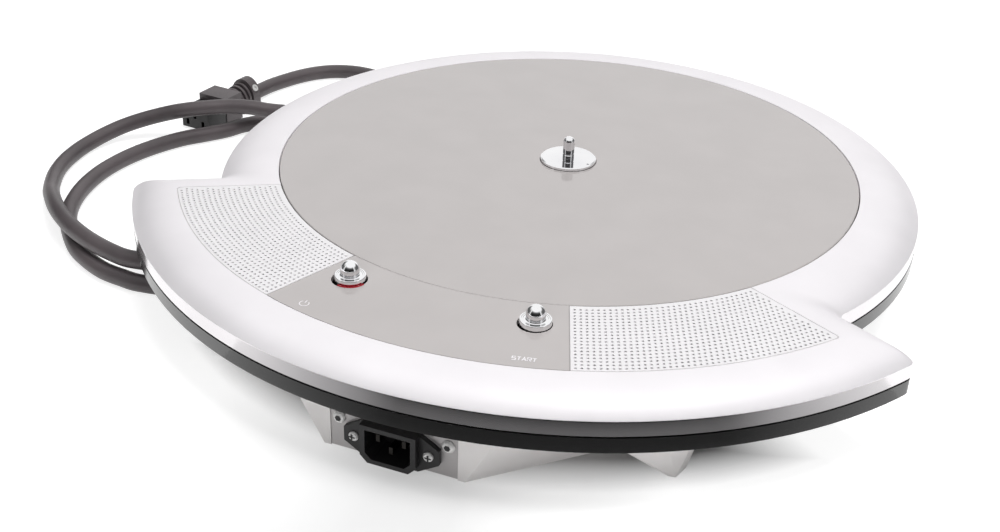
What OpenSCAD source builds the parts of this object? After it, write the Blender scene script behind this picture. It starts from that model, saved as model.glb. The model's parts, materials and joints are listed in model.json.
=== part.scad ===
// Record demagnetizer: a low round platform with a spindle in its middle, on which a record is laid.
// A wider crescent at the front carries two push buttons and two perforated grilles.
// A flat coil under the plate makes the fading field, and a mains inlet sits in the front leg.
// Millimetres. The origin is on the table, under the middle of the body's box.
// Z is up and the front looks along -Y.
// Every piece is drawn about the spindle and then moved back by mid_y.

/* [Body] */
// Radius of the flat record plate
plate_r = 173.5; // [160:0.5:185]
// Thickness of the record plate
plate_t = 4; // [3:0.5:5]
// Outer radius of the round rim
rim_r = 208.6; // [200:0.2:220]
// Outer radius of the front crescent
wing_r = 258.4; // [250:0.2:270]
// Radius of the crescent's two tip corners
tip_r = 4; // [4:1:14]
// Height of the shell's underside above the table
base_h = 36.2; // [34:0.2:42]
// Height of the dark lower band
lower_h = 9.1; // [8:0.1:12]
// Height of the upright light band
band_h = 8.5; // [7:0.1:11]
// Height of the convex roll above the light band
roll_h = 9.4; // [8:0.1:12]
// Width of the roll along the crescent's front edge
front_roll = 25.4; // [20:0.1:26]
// Width of the roll along the crescent's straight back edges
back_roll = 20; // [12:1:22]
// Wall thickness of both shells
wall = 3; // [2:0.5:4]
// Thickness of the shell floor
floor_t = 2.5; // [2:0.1:2.8]
// Roof thickness of the upper shell
roof = 6; // [5.5:0.5:6.5]
// Depth of the shadow line between the shells
shadow_in = 1; // [0.5:0.1:1.5]

/* [Panel and grilles] */
// Half angle of the control panel
panel_half = 20.2; // [18:0.2:24]
// Distance of the panel's and the grilles' outer edge from the roll
panel_in = 0.8; // [0.6:0.1:6]
// Distance of the grille's far edge from the crescent's back edge
grille_edge = 22.5; // [22.5:0.5:30]
// Thickness of the panel and the grilles
panel_t = 3; // [2:0.5:3.5]
// Width of the ledge that carries the plate and the panels
ledge = 5; // [4:0.5:5.5]
// Gap of the seams round the plate and the panels
seam = 0.5; // [0.3:0.1:0.8]

/* [Spindle] */
// Diameter of the pin that centres the record
pin_d = 7; // [6.8:0.1:7.2]
// Height of the pin above the plate
pin_h = 15.3; // [12:0.1:20]
// Diameter of the spindle flange
flange_d = 33.7; // [28:0.1:40]
// Thickness of the spindle flange
flange_t = 2; // [1:0.1:3]
// Diameter of the threaded shank under the plate
shank_d = 6; // [5:0.5:6.5]

/* [Buttons] */
// Distance of the buttons from the edge of the record plate
btn_in = 19.5; // [17:0.5:26]
// Angle of each button from the middle of the front
btn_ang = 15.2; // [13:0.1:16]
// Diameter of the button's ring
ring_d = 16.4; // [14:0.1:17]
// Thickness of the button's ring
ring_t = 1.8; // [1.2:0.1:2.4]
// Diameter of the button's dome
dome_d = 9.4; // [8:0.1:11]
// Height of the dome above the panel
dome_h = 10.5; // [8:0.1:14]
// Diameter of the button's stem
stem_d = 5; // [4:0.1:5.5]
// Travel of each button
travel = 2.2; // [1.5:0.1:2.4]
// Radial gap round the start button's ring
start_gap = 0.7; // [0.4:0.1:0.9]
// Radial gap round the power button's ring, which holds the light guide
power_gap = 1.2; // [1:0.1:1.4]
// Radial running clearance of the stem in its guide
stem_clear = 0.05; // [0.02:0.01:0.1]
// Height of the light guide above the panel
light_h = 2; // [1:0.1:3]

/* [Base and inlet] */
// Half width of the front leg at the table
leg_half = 38; // [37:0.5:42]
// Half width of the front leg at the top
leg_top = 58; // [50:0.5:64]
// Distance of the front leg's face from the spindle
leg_y = 239.3; // [236:0.1:244]
// Sheet thickness of the front leg
leg_t = 2; // [1.5:0.1:2.5]
// Half width of the inlet plate
plate_half = 34; // [32:0.5:35]
// Height of the inlet's middle above the table
inlet_z = 11.4; // [11.3:0.1:14]
// Spacing of the inlet's two screws
inlet_pitch = 40; // [40:0.1:40.2]
// Spacing of the inlet plate's two screws
plate_pitch = 58.4; // [57:0.1:60]
// Height of the inlet plate's screws above the table
plate_screw_z = 18.2; // [16:0.1:22]
// Distance of each side foot from the middle
side_x = 128; // [120:1:136]
// Distance of each side foot in front of the spindle
side_y = 188; // [180:1:196]
// Distance of each rear foot from the middle
rear_x = 113; // [100:1:125]
// Distance of each rear foot behind the spindle
rear_y = 123; // [110:1:135]
// Radius of the small foot pads
pad_r = 3; // [2.5:0.1:4]

/* [Coil] */
// Outer radius of the coil former
coil_r = 80; // [60:1:100]
// Height of the coil former
coil_h = 11; // [9:0.5:11.5]
// Radius of the steel hub in the coil
hub_r = 20; // [15:1:25]
// Thickness of the steel pole plate
pole_t = 2; // [1.5:0.1:2.5]

/* [Mains lead] */
// Diameter of the mains lead
cord_d = 10.8; // [8:0.1:10.8]
// Width of the lead's connector
conn_w = 25; // [24:0.5:27]
// Diameter of the mains plug
plug_d = 36; // [32:1:38]

/* [Hidden] */
big_fn = 96;
mid_fn = 48;
small_fn = 24;
wing_half = 60;
mid_y = (wing_r - rim_r) / 2;
z_seam = base_h + lower_h;
z_band = z_seam + band_h;
z_top = z_band + roll_h;
z_floor = base_h + floor_t;
z_roof = z_top - roof;
z_panel = z_top - panel_t;
z_plate = z_top - plate_t;
rim_flat = 1.5;
flat_r = wing_r - front_roll;
panel_r = flat_r - panel_in;
roll_pow = 2.2;
roll_n = 8;
// the crescent's roll ends a little lower than the rim's, so that the two meet in a clean corner
roll_step = 0.3;
// buttons
ring_r = ring_d / 2;
dome_r = dome_d / 2;
stem_r = stem_d / 2;
ring_low = 0.2;
cup_deep = 3;
cup_floor = 2;
cup_wall = 1.2;
guide_len = 4;
guide_r = stem_r + 2;
z_cup = z_panel - cup_deep;
z_cup_low = z_cup - cup_floor;
z_guide = z_cup_low - guide_len;
clip_t = 0.6;
clip_r = stem_r + 1.5;
z_clip = z_guide - 0.3 - clip_t;
board_t = 1.6;
z_board = z_floor + 2.3;
z_board_top = z_board + board_t;
z_switch = z_clip - travel - 0.5;
z_stem = z_switch - 1;
wire_d = 0.7;
spring_r = guide_r + 0.2;
spring_turns = 4;
btn_r = plate_r + btn_in;
btn_x = btn_r * sin(btn_ang);
btn_y = -btn_r * cos(btn_ang);
power_hole = ring_r + power_gap;
start_hole = ring_r + start_gap;
// inlet
inlet_face = leg_y - 0.5;
inlet_plate_t = 2;
fit_gap = 0.3;
opening_deep = leg_y - inlet_face + inlet_plate_t + fit_gap;
flange_proud = 3;
shroud_proud = 7;
shroud_w = 30;
shroud_h = 21.6;
sock_w = 24.4;
sock_h = 16.6;
sock_deep = 10;
body_w = 27.4;
body_h = 18.2;
body_deep = 24;
blade_in = 3;
leg_back = 174;
leg_run = 54;
leg_run_top = leg_run - 12;
// coil
z_pole = z_plate - pole_t;
z_coil = z_pole - coil_h;
cheek = 1.5;
core_r = hub_r + 3;
lead_r = 2.9;
coil_lead_r = 1.9;
lead_gap = 0.15;
washer_t = 1.2;
sink = 0.5;
sink_gap = 0.05;
nut_h = 5;
// fixings
rim_boss = rim_r - 18.6;
wing_boss = wing_r - 15.4;
boss_at = [[rim_boss, 20], [rim_boss, 90], [rim_boss, 160], [wing_boss, -41], [wing_boss, -139]];
boss_r = 4;
boss_pilot = 1.25;
side_fix = [side_x - 6, 2 - side_y];
rear_fix = [rear_x - 1, rear_y + 1];
front_fix = [leg_half + 40, 43.3 - leg_y];
leg_fix = [side_fix, [-side_fix[0], side_fix[1]], rear_fix, [-rear_fix[0], rear_fix[1]],
    front_fix, [-front_fix[0], front_fix[1]]];
leg_pilot = 1.65;
leg_pilot_deep = 12;
leg_screw_in = 7;
leg_head_r = 3.6;
shell_head_r = 3;
head_h = 2.2;
shell_screw_in = 11.5;
pad_t = 1.4;
// reach of each foot from its middle, at the table and at its top
foot_low = 6;
foot_high = 36;
rear_low = 7;
rear_high = 29;
wire_hole = [0, 23.3 - leg_y];
wire_hole_r = 6;
stand_x = btn_x + 10.4;
board_half_x = stand_x + 5;
board_y0 = btn_y - 18.75;
board_y1 = btn_y + 18.25;
stand_at = [[-stand_x, board_y0 + 5], [stand_x, board_y0 + 5],
    [-stand_x, board_y1 - 5], [stand_x, board_y1 - 5]];
blade_tail = 7;
pin_end = body_deep + blade_tail - inlet_face;
// the lead: its route over the table, from the connector to the plug
cord_r = cord_d / 2;
conn_at = [-309.5, 57];
conn_ang = 83.66;
conn_len = 64;
nose_len = 21;
clamp_x = 56;
clamp_h = 22.5;
clamp_w = 21;
clamp_spring = 9;
clamp_screw_r = 2.7;
clamp_screw_x = 60;
clamp_screw_turn = 32;
route = [
    [-302.4, 120.6, 6.5], [-301.6, 128, 6.4], [-300.8, 137, 6.2], [-299.5, 147, 5.9], [-296, 159, 5.7],
    [-290, 173.5, 5.7], [-281, 187.5, 5.7], [-268, 198, 5.7], [-250, 203, 5.7], [-230, 200, 5.7],
    [-211, 187, 5.7], [-197, 164, 5.7], [-185, 132, 5.7], [-177, 96, 5.7], [-173, 58, 5.7],
    [-172, 20, 5.7], [-171, -20, 5.7], [-167, -56, 5.7], [-162.5, -84, 5.7], [-161, -110, 5.7],
    [-167, -133, 5.7], [-183, -149, 5.7], [-206.5, -154.7, 5.7], [-220.8, -153.9, 5.7],
    [-235.9, -151.3, 5.7], [-253.5, -143.9, 5.7], [-269.2, -133.9, 5.7], [-287.4, -116.3, 5.7],
    [-301.5, -98.4, 5.7], [-310.6, -80.3, 5.7], [-316.7, -61.5, 5.7], [-319.9, -41.2, 5.7],
    [-319.6, -21.6, 5.7], [-316.5, -3.2, 5.7], [-310.8, 14.2, 5.7], [-302.7, 30.7, 5.7],
    [-292.3, 44.5, 5.7], [-282.9, 57.7, 5.7], [-276.3, 71.5, 5.7], [-262, 88, 5.7], [-240.5, 96, 5.7],
    [-217.5, 92, 5.7], [-200, 77, 5.7], [-192, 55, 5.7], [-191, 30, 5.7], [-191, 4, 5.7],
    [-190, -22, 5.7], [-185, -48, 6.4], [-177, -76, 9.4], [-172.5, -104, 13], [-177.5, -127.5, 15.6],
    [-193.5, -143.5, 17], [-215.3, -149.4, 17], [-230.8, -147.5, 17], [-248.1, -142.3, 17],
    [-263.5, -135.8, 17], [-279.3, -127.3, 17.2], [-296.9, -114.3, 16.4], [-316.6, -95.1, 12.4],
    [-330.7, -78.6, 8.6], [-344.9, -56.8, 6], [-351.9, -39.7, 5.7], [-355.3, -24.3, 5.7],
    [-356.4, -10.2, 6], [-353.9, 7.4, 7.5], [-346.9, 20.7, 10.5], [-335.8, 29.7, 14.5],
    [-322.8, 36.7, 18.5], [-310.4, 40.8, 22], [-296.6, 49.6, 23.5], [-281.1, 61, 23.5],
    [-267.1, 68.2, 22.5], [-255.8, 74.2, 20], [-229, 86, 18], [-203, 99, 17.6], [-181, 114, 17.4],
    [-161, 131, 13.4], [-145, 150, 7.8], [-134, 170, 5.8], [-129, 190, 6.4], [-122, 209, 9.4],
    [-108, 223.5, 14], [-88, 230, 17.6], [-80, 230, 18], [-72, 230, 18]
];
cord_sides = 10;
cord_rings = 80;
plug_at = [-72, 230];
plug_z = plug_d / 2;
relief_len = 32;
plug_len = 38;
pin_len = 19;
plug_pin_r = 2.4;

// points of the roll, from the flat top down to the upright band
function roll(r0, r1, z0, z1) =
    [for (i = [0:roll_n]) let (t = i / roll_n) [r0 + (r1 - r0) * t, z1 - (z1 - z0) * pow(t, roll_pow)]];

// a point on a smooth curve through the points of a route
function at(p, i) = p[max(0, min(len(p) - 1, i))];
function smooth(p, i, t) =
    let (a = at(p, i - 1), b = at(p, i), c = at(p, i + 1), d = at(p, i + 2))
    0.5 * (2 * b + (c - a) * t + (2 * a - 5 * b + 4 * c - d) * t * t + (3 * b - a - 3 * c + d) * t * t * t);
function finer(p, n) =
    [for (i = [0:n]) let (u = i * (len(p) - 1) / n, k = min(floor(u), len(p) - 2)) smooth(p, k, u - k)];
function unit(v) = v / norm(v);
function along(p, i) = unit(at(p, i + 1) - at(p, i - 1));
function side(t) = unit(cross(t, [0, 0, 1]));
// least gap between a tube of diameter d and itself, leaving out points closer than n along it
function self_gap(p, d, n) =
    min([for (i = [0:len(p) - 1 - n]) for (j = [i + n:len(p) - 1]) norm(p[i] - p[j])]) - d;

// a tube of m sides that follows a list of points
module tube(p, r, m) {
    n = len(p);
    pts = [for (i = [0:n - 1]) let (t = along(p, i), s = side(t), u = cross(s, t))
        for (j = [0:m - 1]) p[i] + r * (cos(360 * j / m) * s + sin(360 * j / m) * u)];
    sides = [for (i = [0:n - 2]) for (j = [0:m - 1]) let (k = (j + 1) % m)
        [i * m + j, i * m + k, (i + 1) * m + k, (i + 1) * m + j]];
    ends = [[for (j = [m - 1:-1:0]) j], [for (j = [0:m - 1]) (n - 1) * m + j]];
    polyhedron(points = pts, faces = concat(sides, ends), convexity = 10);
}

// moves a piece that is drawn about the spindle to the shared origin
module from_spindle() {
    translate([0, mid_y, 0])
        children();
}

// both mirror images of a piece
module both() {
    children();
    mirror([1, 0, 0]) children();
}

// a plan wedge about the front, h degrees to each side
module front_wedge(h) {
    polygon([[0, 0], [600 * sin(h), -600 * cos(h)], [0, -1200], [-600 * sin(h), -600 * cos(h)]]);
}

// everything on the front side of a line d in front of the crescent's back edges
module front_of(d) {
    y = -d / cos(90 - wing_half);
    polygon([[0, y], [400 * sin(wing_half), y - 400 * cos(wing_half)], [400, -600], [-400, -600],
        [-400 * sin(wing_half), y - 400 * cos(wing_half)]]);
}

// what is cut off to round one tip of the crescent
module tip_cut(inset, z0, z1) {
    r = max(tip_r - inset, 1);
    d = tip_r;
    x = sqrt(pow(wing_r - d, 2) - d * d);
    rotate([0, 0, wing_half - 90])
        translate([x, -d, z0])
            difference() {
                cube([30, 30, z1 - z0]);
                translate([0, 0, -1])
                    cylinder(r = r, h = z1 - z0 + 2, $fn = small_fn);
            }
}

// the plain outline of both shells, drawn in by inset
module outline(inset, z0, z1) {
    translate([0, 0, z0])
        cylinder(r = rim_r - inset, h = z1 - z0, $fn = big_fn);
    difference() {
        intersection() {
            translate([0, 0, z0])
                cylinder(r = wing_r - inset, h = z1 - z0, $fn = big_fn);
            translate([0, 0, z0 - 1])
                linear_extrude(z1 - z0 + 2)
                    front_of(inset);
        }
        both()
            tip_cut(inset, z0 - 1, z1 + 1);
    }
}

// the upper shell's form: rim and crescent with their convex rolls
module crown(inset, drop, z0) {
    zt = z_top - drop;
    zb = z_band - drop;
    zw = zb - roll_step;
    rotate_extrude($fn = big_fn)
        polygon(concat([[0, zt]], roll(plate_r + rim_flat, rim_r - inset, zb, zt),
            [[rim_r - inset, z0], [0, z0]]));
    difference() {
        intersection() {
            rotate_extrude($fn = big_fn)
                polygon(concat([[0, zt]], roll(flat_r - inset, wing_r - inset, zw, zt),
                    [[wing_r - inset, z0], [0, z0]]));
            both_edges(inset, zw, zt, z0);
        }
        both()
            tip_cut(inset, z0 - 1, z_top + 1);
    }
}

// the space in front of both back edges, under the roll along each of them
module both_edges(inset, zb, zt, z0) {
    intersection() {
        edge_space(inset, zb, zt, z0);
        mirror([1, 0, 0])
            edge_space(inset, zb, zt, z0);
    }
}

module edge_space(inset, zb, zt, z0) {
    rotate([0, 0, wing_half - 90])
        translate([-400, 0, 0])
            rotate([90, 0, 90])
                linear_extrude(800)
                    polygon(concat(roll(-inset - back_roll, -inset, zb, zt),
                        [[-inset, z0], [-700, z0], [-700, zt]]));
}

// plan of the field that the panel and the grilles fill, drawn in by inset
module field(inset) {
    difference() {
        intersection() {
            circle(r = panel_r - inset, $fn = big_fn);
            front_of(grille_edge + inset);
        }
        circle(r = plate_r + seam + inset, $fn = big_fn);
    }
}

// plan of one grille, drawn in by inset
module grille_plan(inset) {
    intersection() {
        field(inset);
        rotate([0, 0, panel_half])
            translate([seam / 2 + inset, -600])
                square([600, 600]);
    }
}

// plan of the control panel, drawn in by inset
module panel_plan(inset) {
    intersection() {
        field(inset);
        rotate([0, 0, panel_half])
            translate([-600 - seam / 2 - inset, -600])
                square([600, 600]);
        mirror([1, 0])
            rotate([0, 0, panel_half])
                translate([-600 - seam / 2 - inset, -600])
                    square([600, 600]);
    }
}

module at_bosses() {
    for (b = boss_at)
        rotate([0, 0, b[1]])
            translate([b[0], 0, 0])
                children();
}

module at_points(list) {
    for (p = list)
        translate([p[0], p[1], 0])
            children();
}

// room in the upper shell for the guide cup of a button
module guide_room(hole) {
    translate([0, 0, z_cup_low - fit_gap])
        cylinder(r = hole + cup_wall + fit_gap, h = cup_floor + cup_deep + 1, $fn = mid_fn);
}

module top_shell() {
    color("whitesmoke")
        from_spindle()
            difference() {
                union() {
                    difference() {
                        crown(0, 0, z_seam);
                        crown(wall, roof, z_seam - 1);
                    }
                    intersection() {
                        at_bosses()
                            translate([0, 0, z_floor])
                                cylinder(r = boss_r, h = z_top - z_floor, $fn = small_fn);
                        crown(wall - 1, roof - 2, z_floor - 1);
                    }
                }
                translate([0, 0, z_plate])
                    cylinder(r = plate_r + seam, h = plate_t + 1, $fn = big_fn);
                translate([0, 0, z_roof - 1])
                    cylinder(r = plate_r - ledge, h = roof, $fn = big_fn);
                translate([0, 0, z_panel])
                    linear_extrude(panel_t + 1)
                        field(-seam);
                translate([0, 0, z_roof - 1])
                    linear_extrude(roof) {
                        panel_plan(ledge);
                        grille_plan(ledge);
                        mirror([1, 0])
                            grille_plan(ledge);
                    }
                translate([-btn_x, btn_y, 0])
                    guide_room(power_hole);
                translate([btn_x, btn_y, 0])
                    guide_room(start_hole);
                at_bosses()
                    translate([0, 0, z_floor - 1])
                        cylinder(r = boss_pilot, h = 13, $fn = small_fn);
            }
}

module bottom_shell() {
    color("black")
        from_spindle()
            difference() {
                union() {
                    outline(0, base_h, z_seam - 0.8);
                    outline(shadow_in, z_seam - 1, z_seam);
                }
                outline(wall, z_floor, z_seam + 1);
                at_bosses()
                    translate([0, 0, base_h - 1])
                        cylinder(r = 1.7, h = floor_t + 2, $fn = small_fn);
                at_points(leg_fix)
                    translate([0, 0, base_h - 1])
                        cylinder(r = 2.2, h = floor_t + 2, $fn = small_fn);
                translate([wire_hole[0], wire_hole[1], base_h - 1])
                    cylinder(r = wire_hole_r, h = floor_t + 2, $fn = small_fn);
            }
    color("black")
        from_spindle()
            at_points(stand_at)
                translate([0, 0, z_floor - 0.5])
                    difference() {
                        cylinder(r = 3, h = z_board - z_floor + 0.5, $fn = small_fn);
                        translate([0, 0, 0.5])
                            cylinder(r = 1, h = 4, $fn = small_fn);
                    }
}

module record_plate() {
    color("silver")
        from_spindle()
            translate([0, 0, z_plate])
                difference() {
                    union() {
                        cylinder(r = plate_r, h = plate_t - 0.4, $fn = big_fn);
                        translate([0, 0, plate_t - 0.4])
                            cylinder(r1 = plate_r, r2 = plate_r - 0.4, h = 0.4, $fn = big_fn);
                    }
                    translate([0, 0, -1])
                        cylinder(r = shank_d / 2 + 0.1, h = plate_t + 2, $fn = small_fn);
                }
}

module control_panel() {
    color("silver")
        from_spindle()
            difference() {
                translate([0, 0, z_panel])
                    linear_extrude(panel_t)
                        panel_plan(0);
                translate([-btn_x, btn_y, z_panel - 1])
                    cylinder(r = power_hole, h = panel_t + 2, $fn = mid_fn);
                translate([btn_x, btn_y, z_panel - 1])
                    cylinder(r = start_hole, h = panel_t + 2, $fn = mid_fn);
            }
}

module right_grille() {
    color("white")
        from_spindle()
            translate([0, 0, z_panel])
                linear_extrude(panel_t)
                    grille_plan(0);
}

module left_grille() {
    mirror([1, 0, 0])
        right_grille();
}

module spindle_pin() {
    r = pin_d / 2;
    top = z_top + pin_h;
    low = z_coil - washer_t - nut_h - 0.2;
    color("gainsboro")
        from_spindle()
            rotate_extrude($fn = mid_fn)
                polygon(concat([[0, low], [shank_d / 2, low],
                    [shank_d / 2, z_top + flange_t - sink], [r, z_top + flange_t]],
                    [for (a = [0:15:90]) [r * cos(a), top - r + r * sin(a)]]));
}

module spindle_flange() {
    color("gainsboro")
        from_spindle()
            difference() {
                rotate_extrude($fn = mid_fn)
                    polygon([[shank_d / 2, z_top], [flange_d / 2, z_top],
                        [flange_d / 2, z_top + flange_t - 0.5], [flange_d / 2 - 0.8, z_top + flange_t],
                        [pin_d / 2 + sink_gap, z_top + flange_t],
                        [shank_d / 2 + sink_gap, z_top + flange_t - sink],
                        [shank_d / 2, z_top + flange_t - sink]]);
                rotate([0, 0, -19])
                    translate([flange_d / 2 - 1.8, 0, z_top + flange_t - 1])
                        cylinder(r = 0.7, h = 2, $fn = small_fn);
            }
}

module spindle_washer() {
    color("silver")
        from_spindle()
            translate([0, 0, z_coil - washer_t])
                difference() {
                    cylinder(r = shank_d + 2, h = washer_t, $fn = small_fn);
                    translate([0, 0, -1])
                        cylinder(r = shank_d / 2 + 0.2, h = washer_t + 2, $fn = small_fn);
                }
}

module spindle_nut() {
    color("silver")
        from_spindle()
            translate([0, 0, z_coil - washer_t - nut_h])
                difference() {
                    cylinder(r = shank_d * 0.96, h = nut_h, $fn = 6);
                    translate([0, 0, -1])
                        cylinder(r = shank_d / 2, h = nut_h + 2, $fn = small_fn);
                }
}

module button() {
    rotate_extrude($fn = mid_fn)
        polygon(concat([[0, z_stem], [stem_r, z_stem], [stem_r, z_top + ring_low],
            [ring_r - 0.3, z_top + ring_low], [ring_r, z_top + ring_low + 0.3],
            [ring_r, z_top + ring_low + ring_t - 0.5], [ring_r - 0.5, z_top + ring_low + ring_t],
            [dome_r + 1.6, z_top + ring_low + ring_t - 0.4], [dome_r, z_top + ring_low + ring_t - 0.1]],
            [for (a = [0:15:90]) [dome_r * cos(a), z_top + dome_h - dome_r + dome_r * sin(a)]]));
}

module power_button() {
    color("gainsboro")
        from_spindle()
            translate([-btn_x, btn_y, 0])
                button();
}

module start_button() {
    color("gainsboro")
        from_spindle()
            translate([btn_x, btn_y, 0])
                button();
}

module clip() {
    translate([0, 0, z_clip])
        difference() {
            cylinder(r = clip_r, h = clip_t, $fn = small_fn);
            translate([0, 0, -1])
                cylinder(r = stem_r, h = clip_t + 2, $fn = mid_fn);
        }
}

module power_clip() {
    color("dimgray")
        from_spindle()
            translate([-btn_x, btn_y, 0])
                clip();
}

module start_clip() {
    color("dimgray")
        from_spindle()
            translate([btn_x, btn_y, 0])
                clip();
}

// coil spring between the guide cup's floor and the underside of the button's ring
module spring() {
    n = 16 * spring_turns;
    low = z_cup + wire_d / 2 + 0.02;
    rise = z_top + ring_low - z_cup - wire_d - 0.04;
    coil = [for (i = [0:n]) [spring_r * cos(360 * i / 16), spring_r * sin(360 * i / 16), low + rise * i / n]];
    echo(spring_self_gap = self_gap(coil, wire_d, 8));
    tube(coil, wire_d / 2, 6);
}

module power_spring() {
    color("gray")
        from_spindle()
            translate([-btn_x, btn_y, 0])
                spring();
}

module start_spring() {
    color("gray")
        from_spindle()
            translate([btn_x, btn_y, 0])
                spring();
}

// cup that hangs under the panel and guides a button's stem
module guide(hole) {
    rotate_extrude($fn = mid_fn)
        polygon([[stem_r + stem_clear, z_guide], [guide_r, z_guide], [guide_r, z_cup_low],
            [hole + cup_wall, z_cup_low], [hole + cup_wall, z_panel], [hole, z_panel], [hole, z_cup],
            [stem_r + stem_clear, z_cup]]);
}

module power_guide() {
    color("dimgray")
        from_spindle()
            translate([-btn_x, btn_y, 0])
                guide(power_hole);
}

module start_guide() {
    color("dimgray")
        from_spindle()
            translate([btn_x, btn_y, 0])
                guide(start_hole);
}

module switch_body() {
    difference() {
        translate([-6.5, -6.5, z_board_top])
            cube([13, 13, z_switch - z_board_top]);
        translate([0, 0, z_stem - travel - 0.6])
            cylinder(r = stem_r + 0.4, h = 10, $fn = small_fn);
    }
}

module power_switch() {
    color("darkslategray")
        from_spindle()
            translate([-btn_x, btn_y, 0])
                switch_body();
}

module start_switch() {
    color("darkslategray")
        from_spindle()
            translate([btn_x, btn_y, 0])
                switch_body();
}

// red light guide at the front of the power button's gap
module power_light() {
    color("red")
        from_spindle()
            translate([-btn_x, btn_y, z_cup])
                intersection() {
                    difference() {
                        cylinder(r = power_hole - 0.2, h = cup_deep + panel_t + light_h, $fn = mid_fn);
                        translate([0, 0, -1])
                            cylinder(r = ring_r + 0.35, h = cup_deep + panel_t + light_h + 2, $fn = mid_fn);
                    }
                    rotate([0, 0, 12])
                        linear_extrude(cup_deep + panel_t + light_h)
                            polygon([[0, 0], [20, -20], [-20, -20]]);
                }
}

module pole_plate() {
    color("slategray")
        from_spindle()
            translate([0, 0, z_pole])
                difference() {
                    cylinder(r = coil_r - 10, h = pole_t, $fn = mid_fn);
                    translate([0, 0, -1])
                        cylinder(r = shank_d / 2 + 0.2, h = pole_t + 2, $fn = small_fn);
                }
}

module coil_former() {
    color("tan")
        from_spindle()
            difference() {
                union() {
                    translate([0, 0, z_coil])
                        cylinder(r = coil_r, h = cheek, $fn = mid_fn);
                    translate([0, 0, z_pole - cheek])
                        cylinder(r = coil_r, h = cheek, $fn = mid_fn);
                    translate([0, 0, z_coil])
                        cylinder(r = core_r, h = coil_h, $fn = mid_fn);
                    translate([-7, -coil_r - 5, z_coil])
                        cube([14, 10, coil_h]);
                }
                translate([0, 0, z_coil - 1])
                    cylinder(r = hub_r, h = coil_h + 2, $fn = mid_fn);
                translate([0, -coil_r - 6, z_coil + coil_h / 2])
                    rotate([-90, 0, 0])
                        cylinder(r = coil_lead_r + lead_gap, h = 4, $fn = small_fn);
            }
}

module coil_winding() {
    color("peru")
        from_spindle()
            translate([0, 0, z_coil + cheek])
                difference() {
                    cylinder(r = coil_r - 5, h = coil_h - 2 * cheek, $fn = mid_fn);
                    translate([0, 0, -1])
                        cylinder(r = core_r + 0.1, h = coil_h + 2, $fn = mid_fn);
                }
}

module coil_hub() {
    color("slategray")
        from_spindle()
            translate([0, 0, z_coil])
                difference() {
                    cylinder(r = hub_r, h = coil_h, $fn = mid_fn);
                    translate([0, 0, -1])
                        cylinder(r = shank_d / 2 + 0.2, h = coil_h + 2, $fn = small_fn);
                }
}

module thermal_cutout() {
    color("lightgray")
        from_spindle()
            translate([50, 0, z_coil - 4])
                cylinder(r = 8, h = 4, $fn = small_fn);
}

module control_board() {
    color("darkgreen")
        from_spindle()
            difference() {
                translate([-board_half_x, board_y0, z_board])
                    cube([2 * board_half_x, board_y1 - board_y0, board_t]);
                at_points(stand_at)
                    translate([0, 0, z_board - 1])
                        cylinder(r = 1.4, h = board_t + 2, $fn = small_fn);
            }
}

module board_screws() {
    color("silver")
        from_spindle()
            at_points(stand_at) {
                translate([0, 0, z_board_top])
                    cylinder(r = 2.4, h = 1.6, $fn = small_fn);
                translate([0, 0, z_floor + 0.4])
                    cylinder(r = 1, h = z_board_top - z_floor, $fn = small_fn);
            }
}

// two terminals: mains in front, coil behind
module terminal_block() {
    color("darkgreen")
        from_spindle()
            difference() {
                translate([-12, board_y0 + 1, z_board_top])
                    cube([24, 9, 10]);
                translate([0, board_y0, z_board_top + 5])
                    rotate([-90, 0, 0])
                        cylinder(r = lead_r + lead_gap, h = 5, $fn = small_fn);
            }
    color("darkgreen")
        from_spindle()
            difference() {
                translate([-6, board_y1 - 10, z_board_top])
                    cube([12, 9, 9]);
                translate([0, board_y1, z_board_top + 4.5])
                    rotate([90, 0, 0])
                        cylinder(r = coil_lead_r + lead_gap, h = 5, $fn = small_fn);
            }
}

module relay() {
    color("royalblue")
        from_spindle()
            translate([-30, btn_y - 6, z_board_top])
                cube([19, 15, 12]);
}

module capacitor() {
    color("goldenrod")
        from_spindle()
            translate([12, btn_y - 6, z_board_top])
                cube([18, 9, 12]);
}

module fuse_holder() {
    color("darkslategray")
        from_spindle()
            translate([12, btn_y + 6, z_board_top])
                cube([22, 9, 8]);
    color("whitesmoke")
        from_spindle()
            translate([13, btn_y + 10.5, z_board_top + 8])
                rotate([0, 90, 0])
                    cylinder(r = 2.6, h = 20, $fn = small_fn);
}

module grommet() {
    color("dimgray")
        from_spindle()
            translate([wire_hole[0], wire_hole[1], base_h])
                rotate_extrude($fn = small_fn)
                    polygon([[lead_r + fit_gap, 0], [wire_hole_r, 0], [wire_hole_r, floor_t],
                        [wire_hole_r + 1.5, floor_t], [wire_hole_r + 1.5, floor_t + 1],
                        [lead_r + fit_gap, floor_t + 1]]);
}

module inlet_leads() {
    color("dimgray")
        from_spindle()
            tube(finer([[0, pin_end, inlet_z], [0, pin_end + 3, inlet_z], [0, pin_end + 6, inlet_z],
                [0, pin_end + 10.8, inlet_z + 5], [0, pin_end + 7, inlet_z + 12],
                [0, wire_hole[1] + 2, base_h - 8], [0, wire_hole[1], base_h],
                [0, wire_hole[1], z_board_top - 2], [0, wire_hole[1] + 2, z_board_top + 3],
                [0, board_y0 - 5, z_board_top + 5], [0, board_y0, z_board_top + 5],
                [0, board_y0 + 4.9, z_board_top + 5]], 33), lead_r, 10);
}

module coil_leads() {
    color("darkorange")
        from_spindle()
            tube(finer([[0, board_y1 - 4.9, z_board_top + 4.5], [0, board_y1, z_board_top + 4.5],
                [0, board_y1 + 5, z_board_top + 4.5], [0, -coil_r - 50, z_board_top + 1],
                [0, -coil_r - 20, z_coil + coil_h / 2], [0, -coil_r - 10, z_coil + coil_h / 2],
                [0, -coil_r - 2.1, z_coil + coil_h / 2]], 18), coil_lead_r, 8);
}

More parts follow.
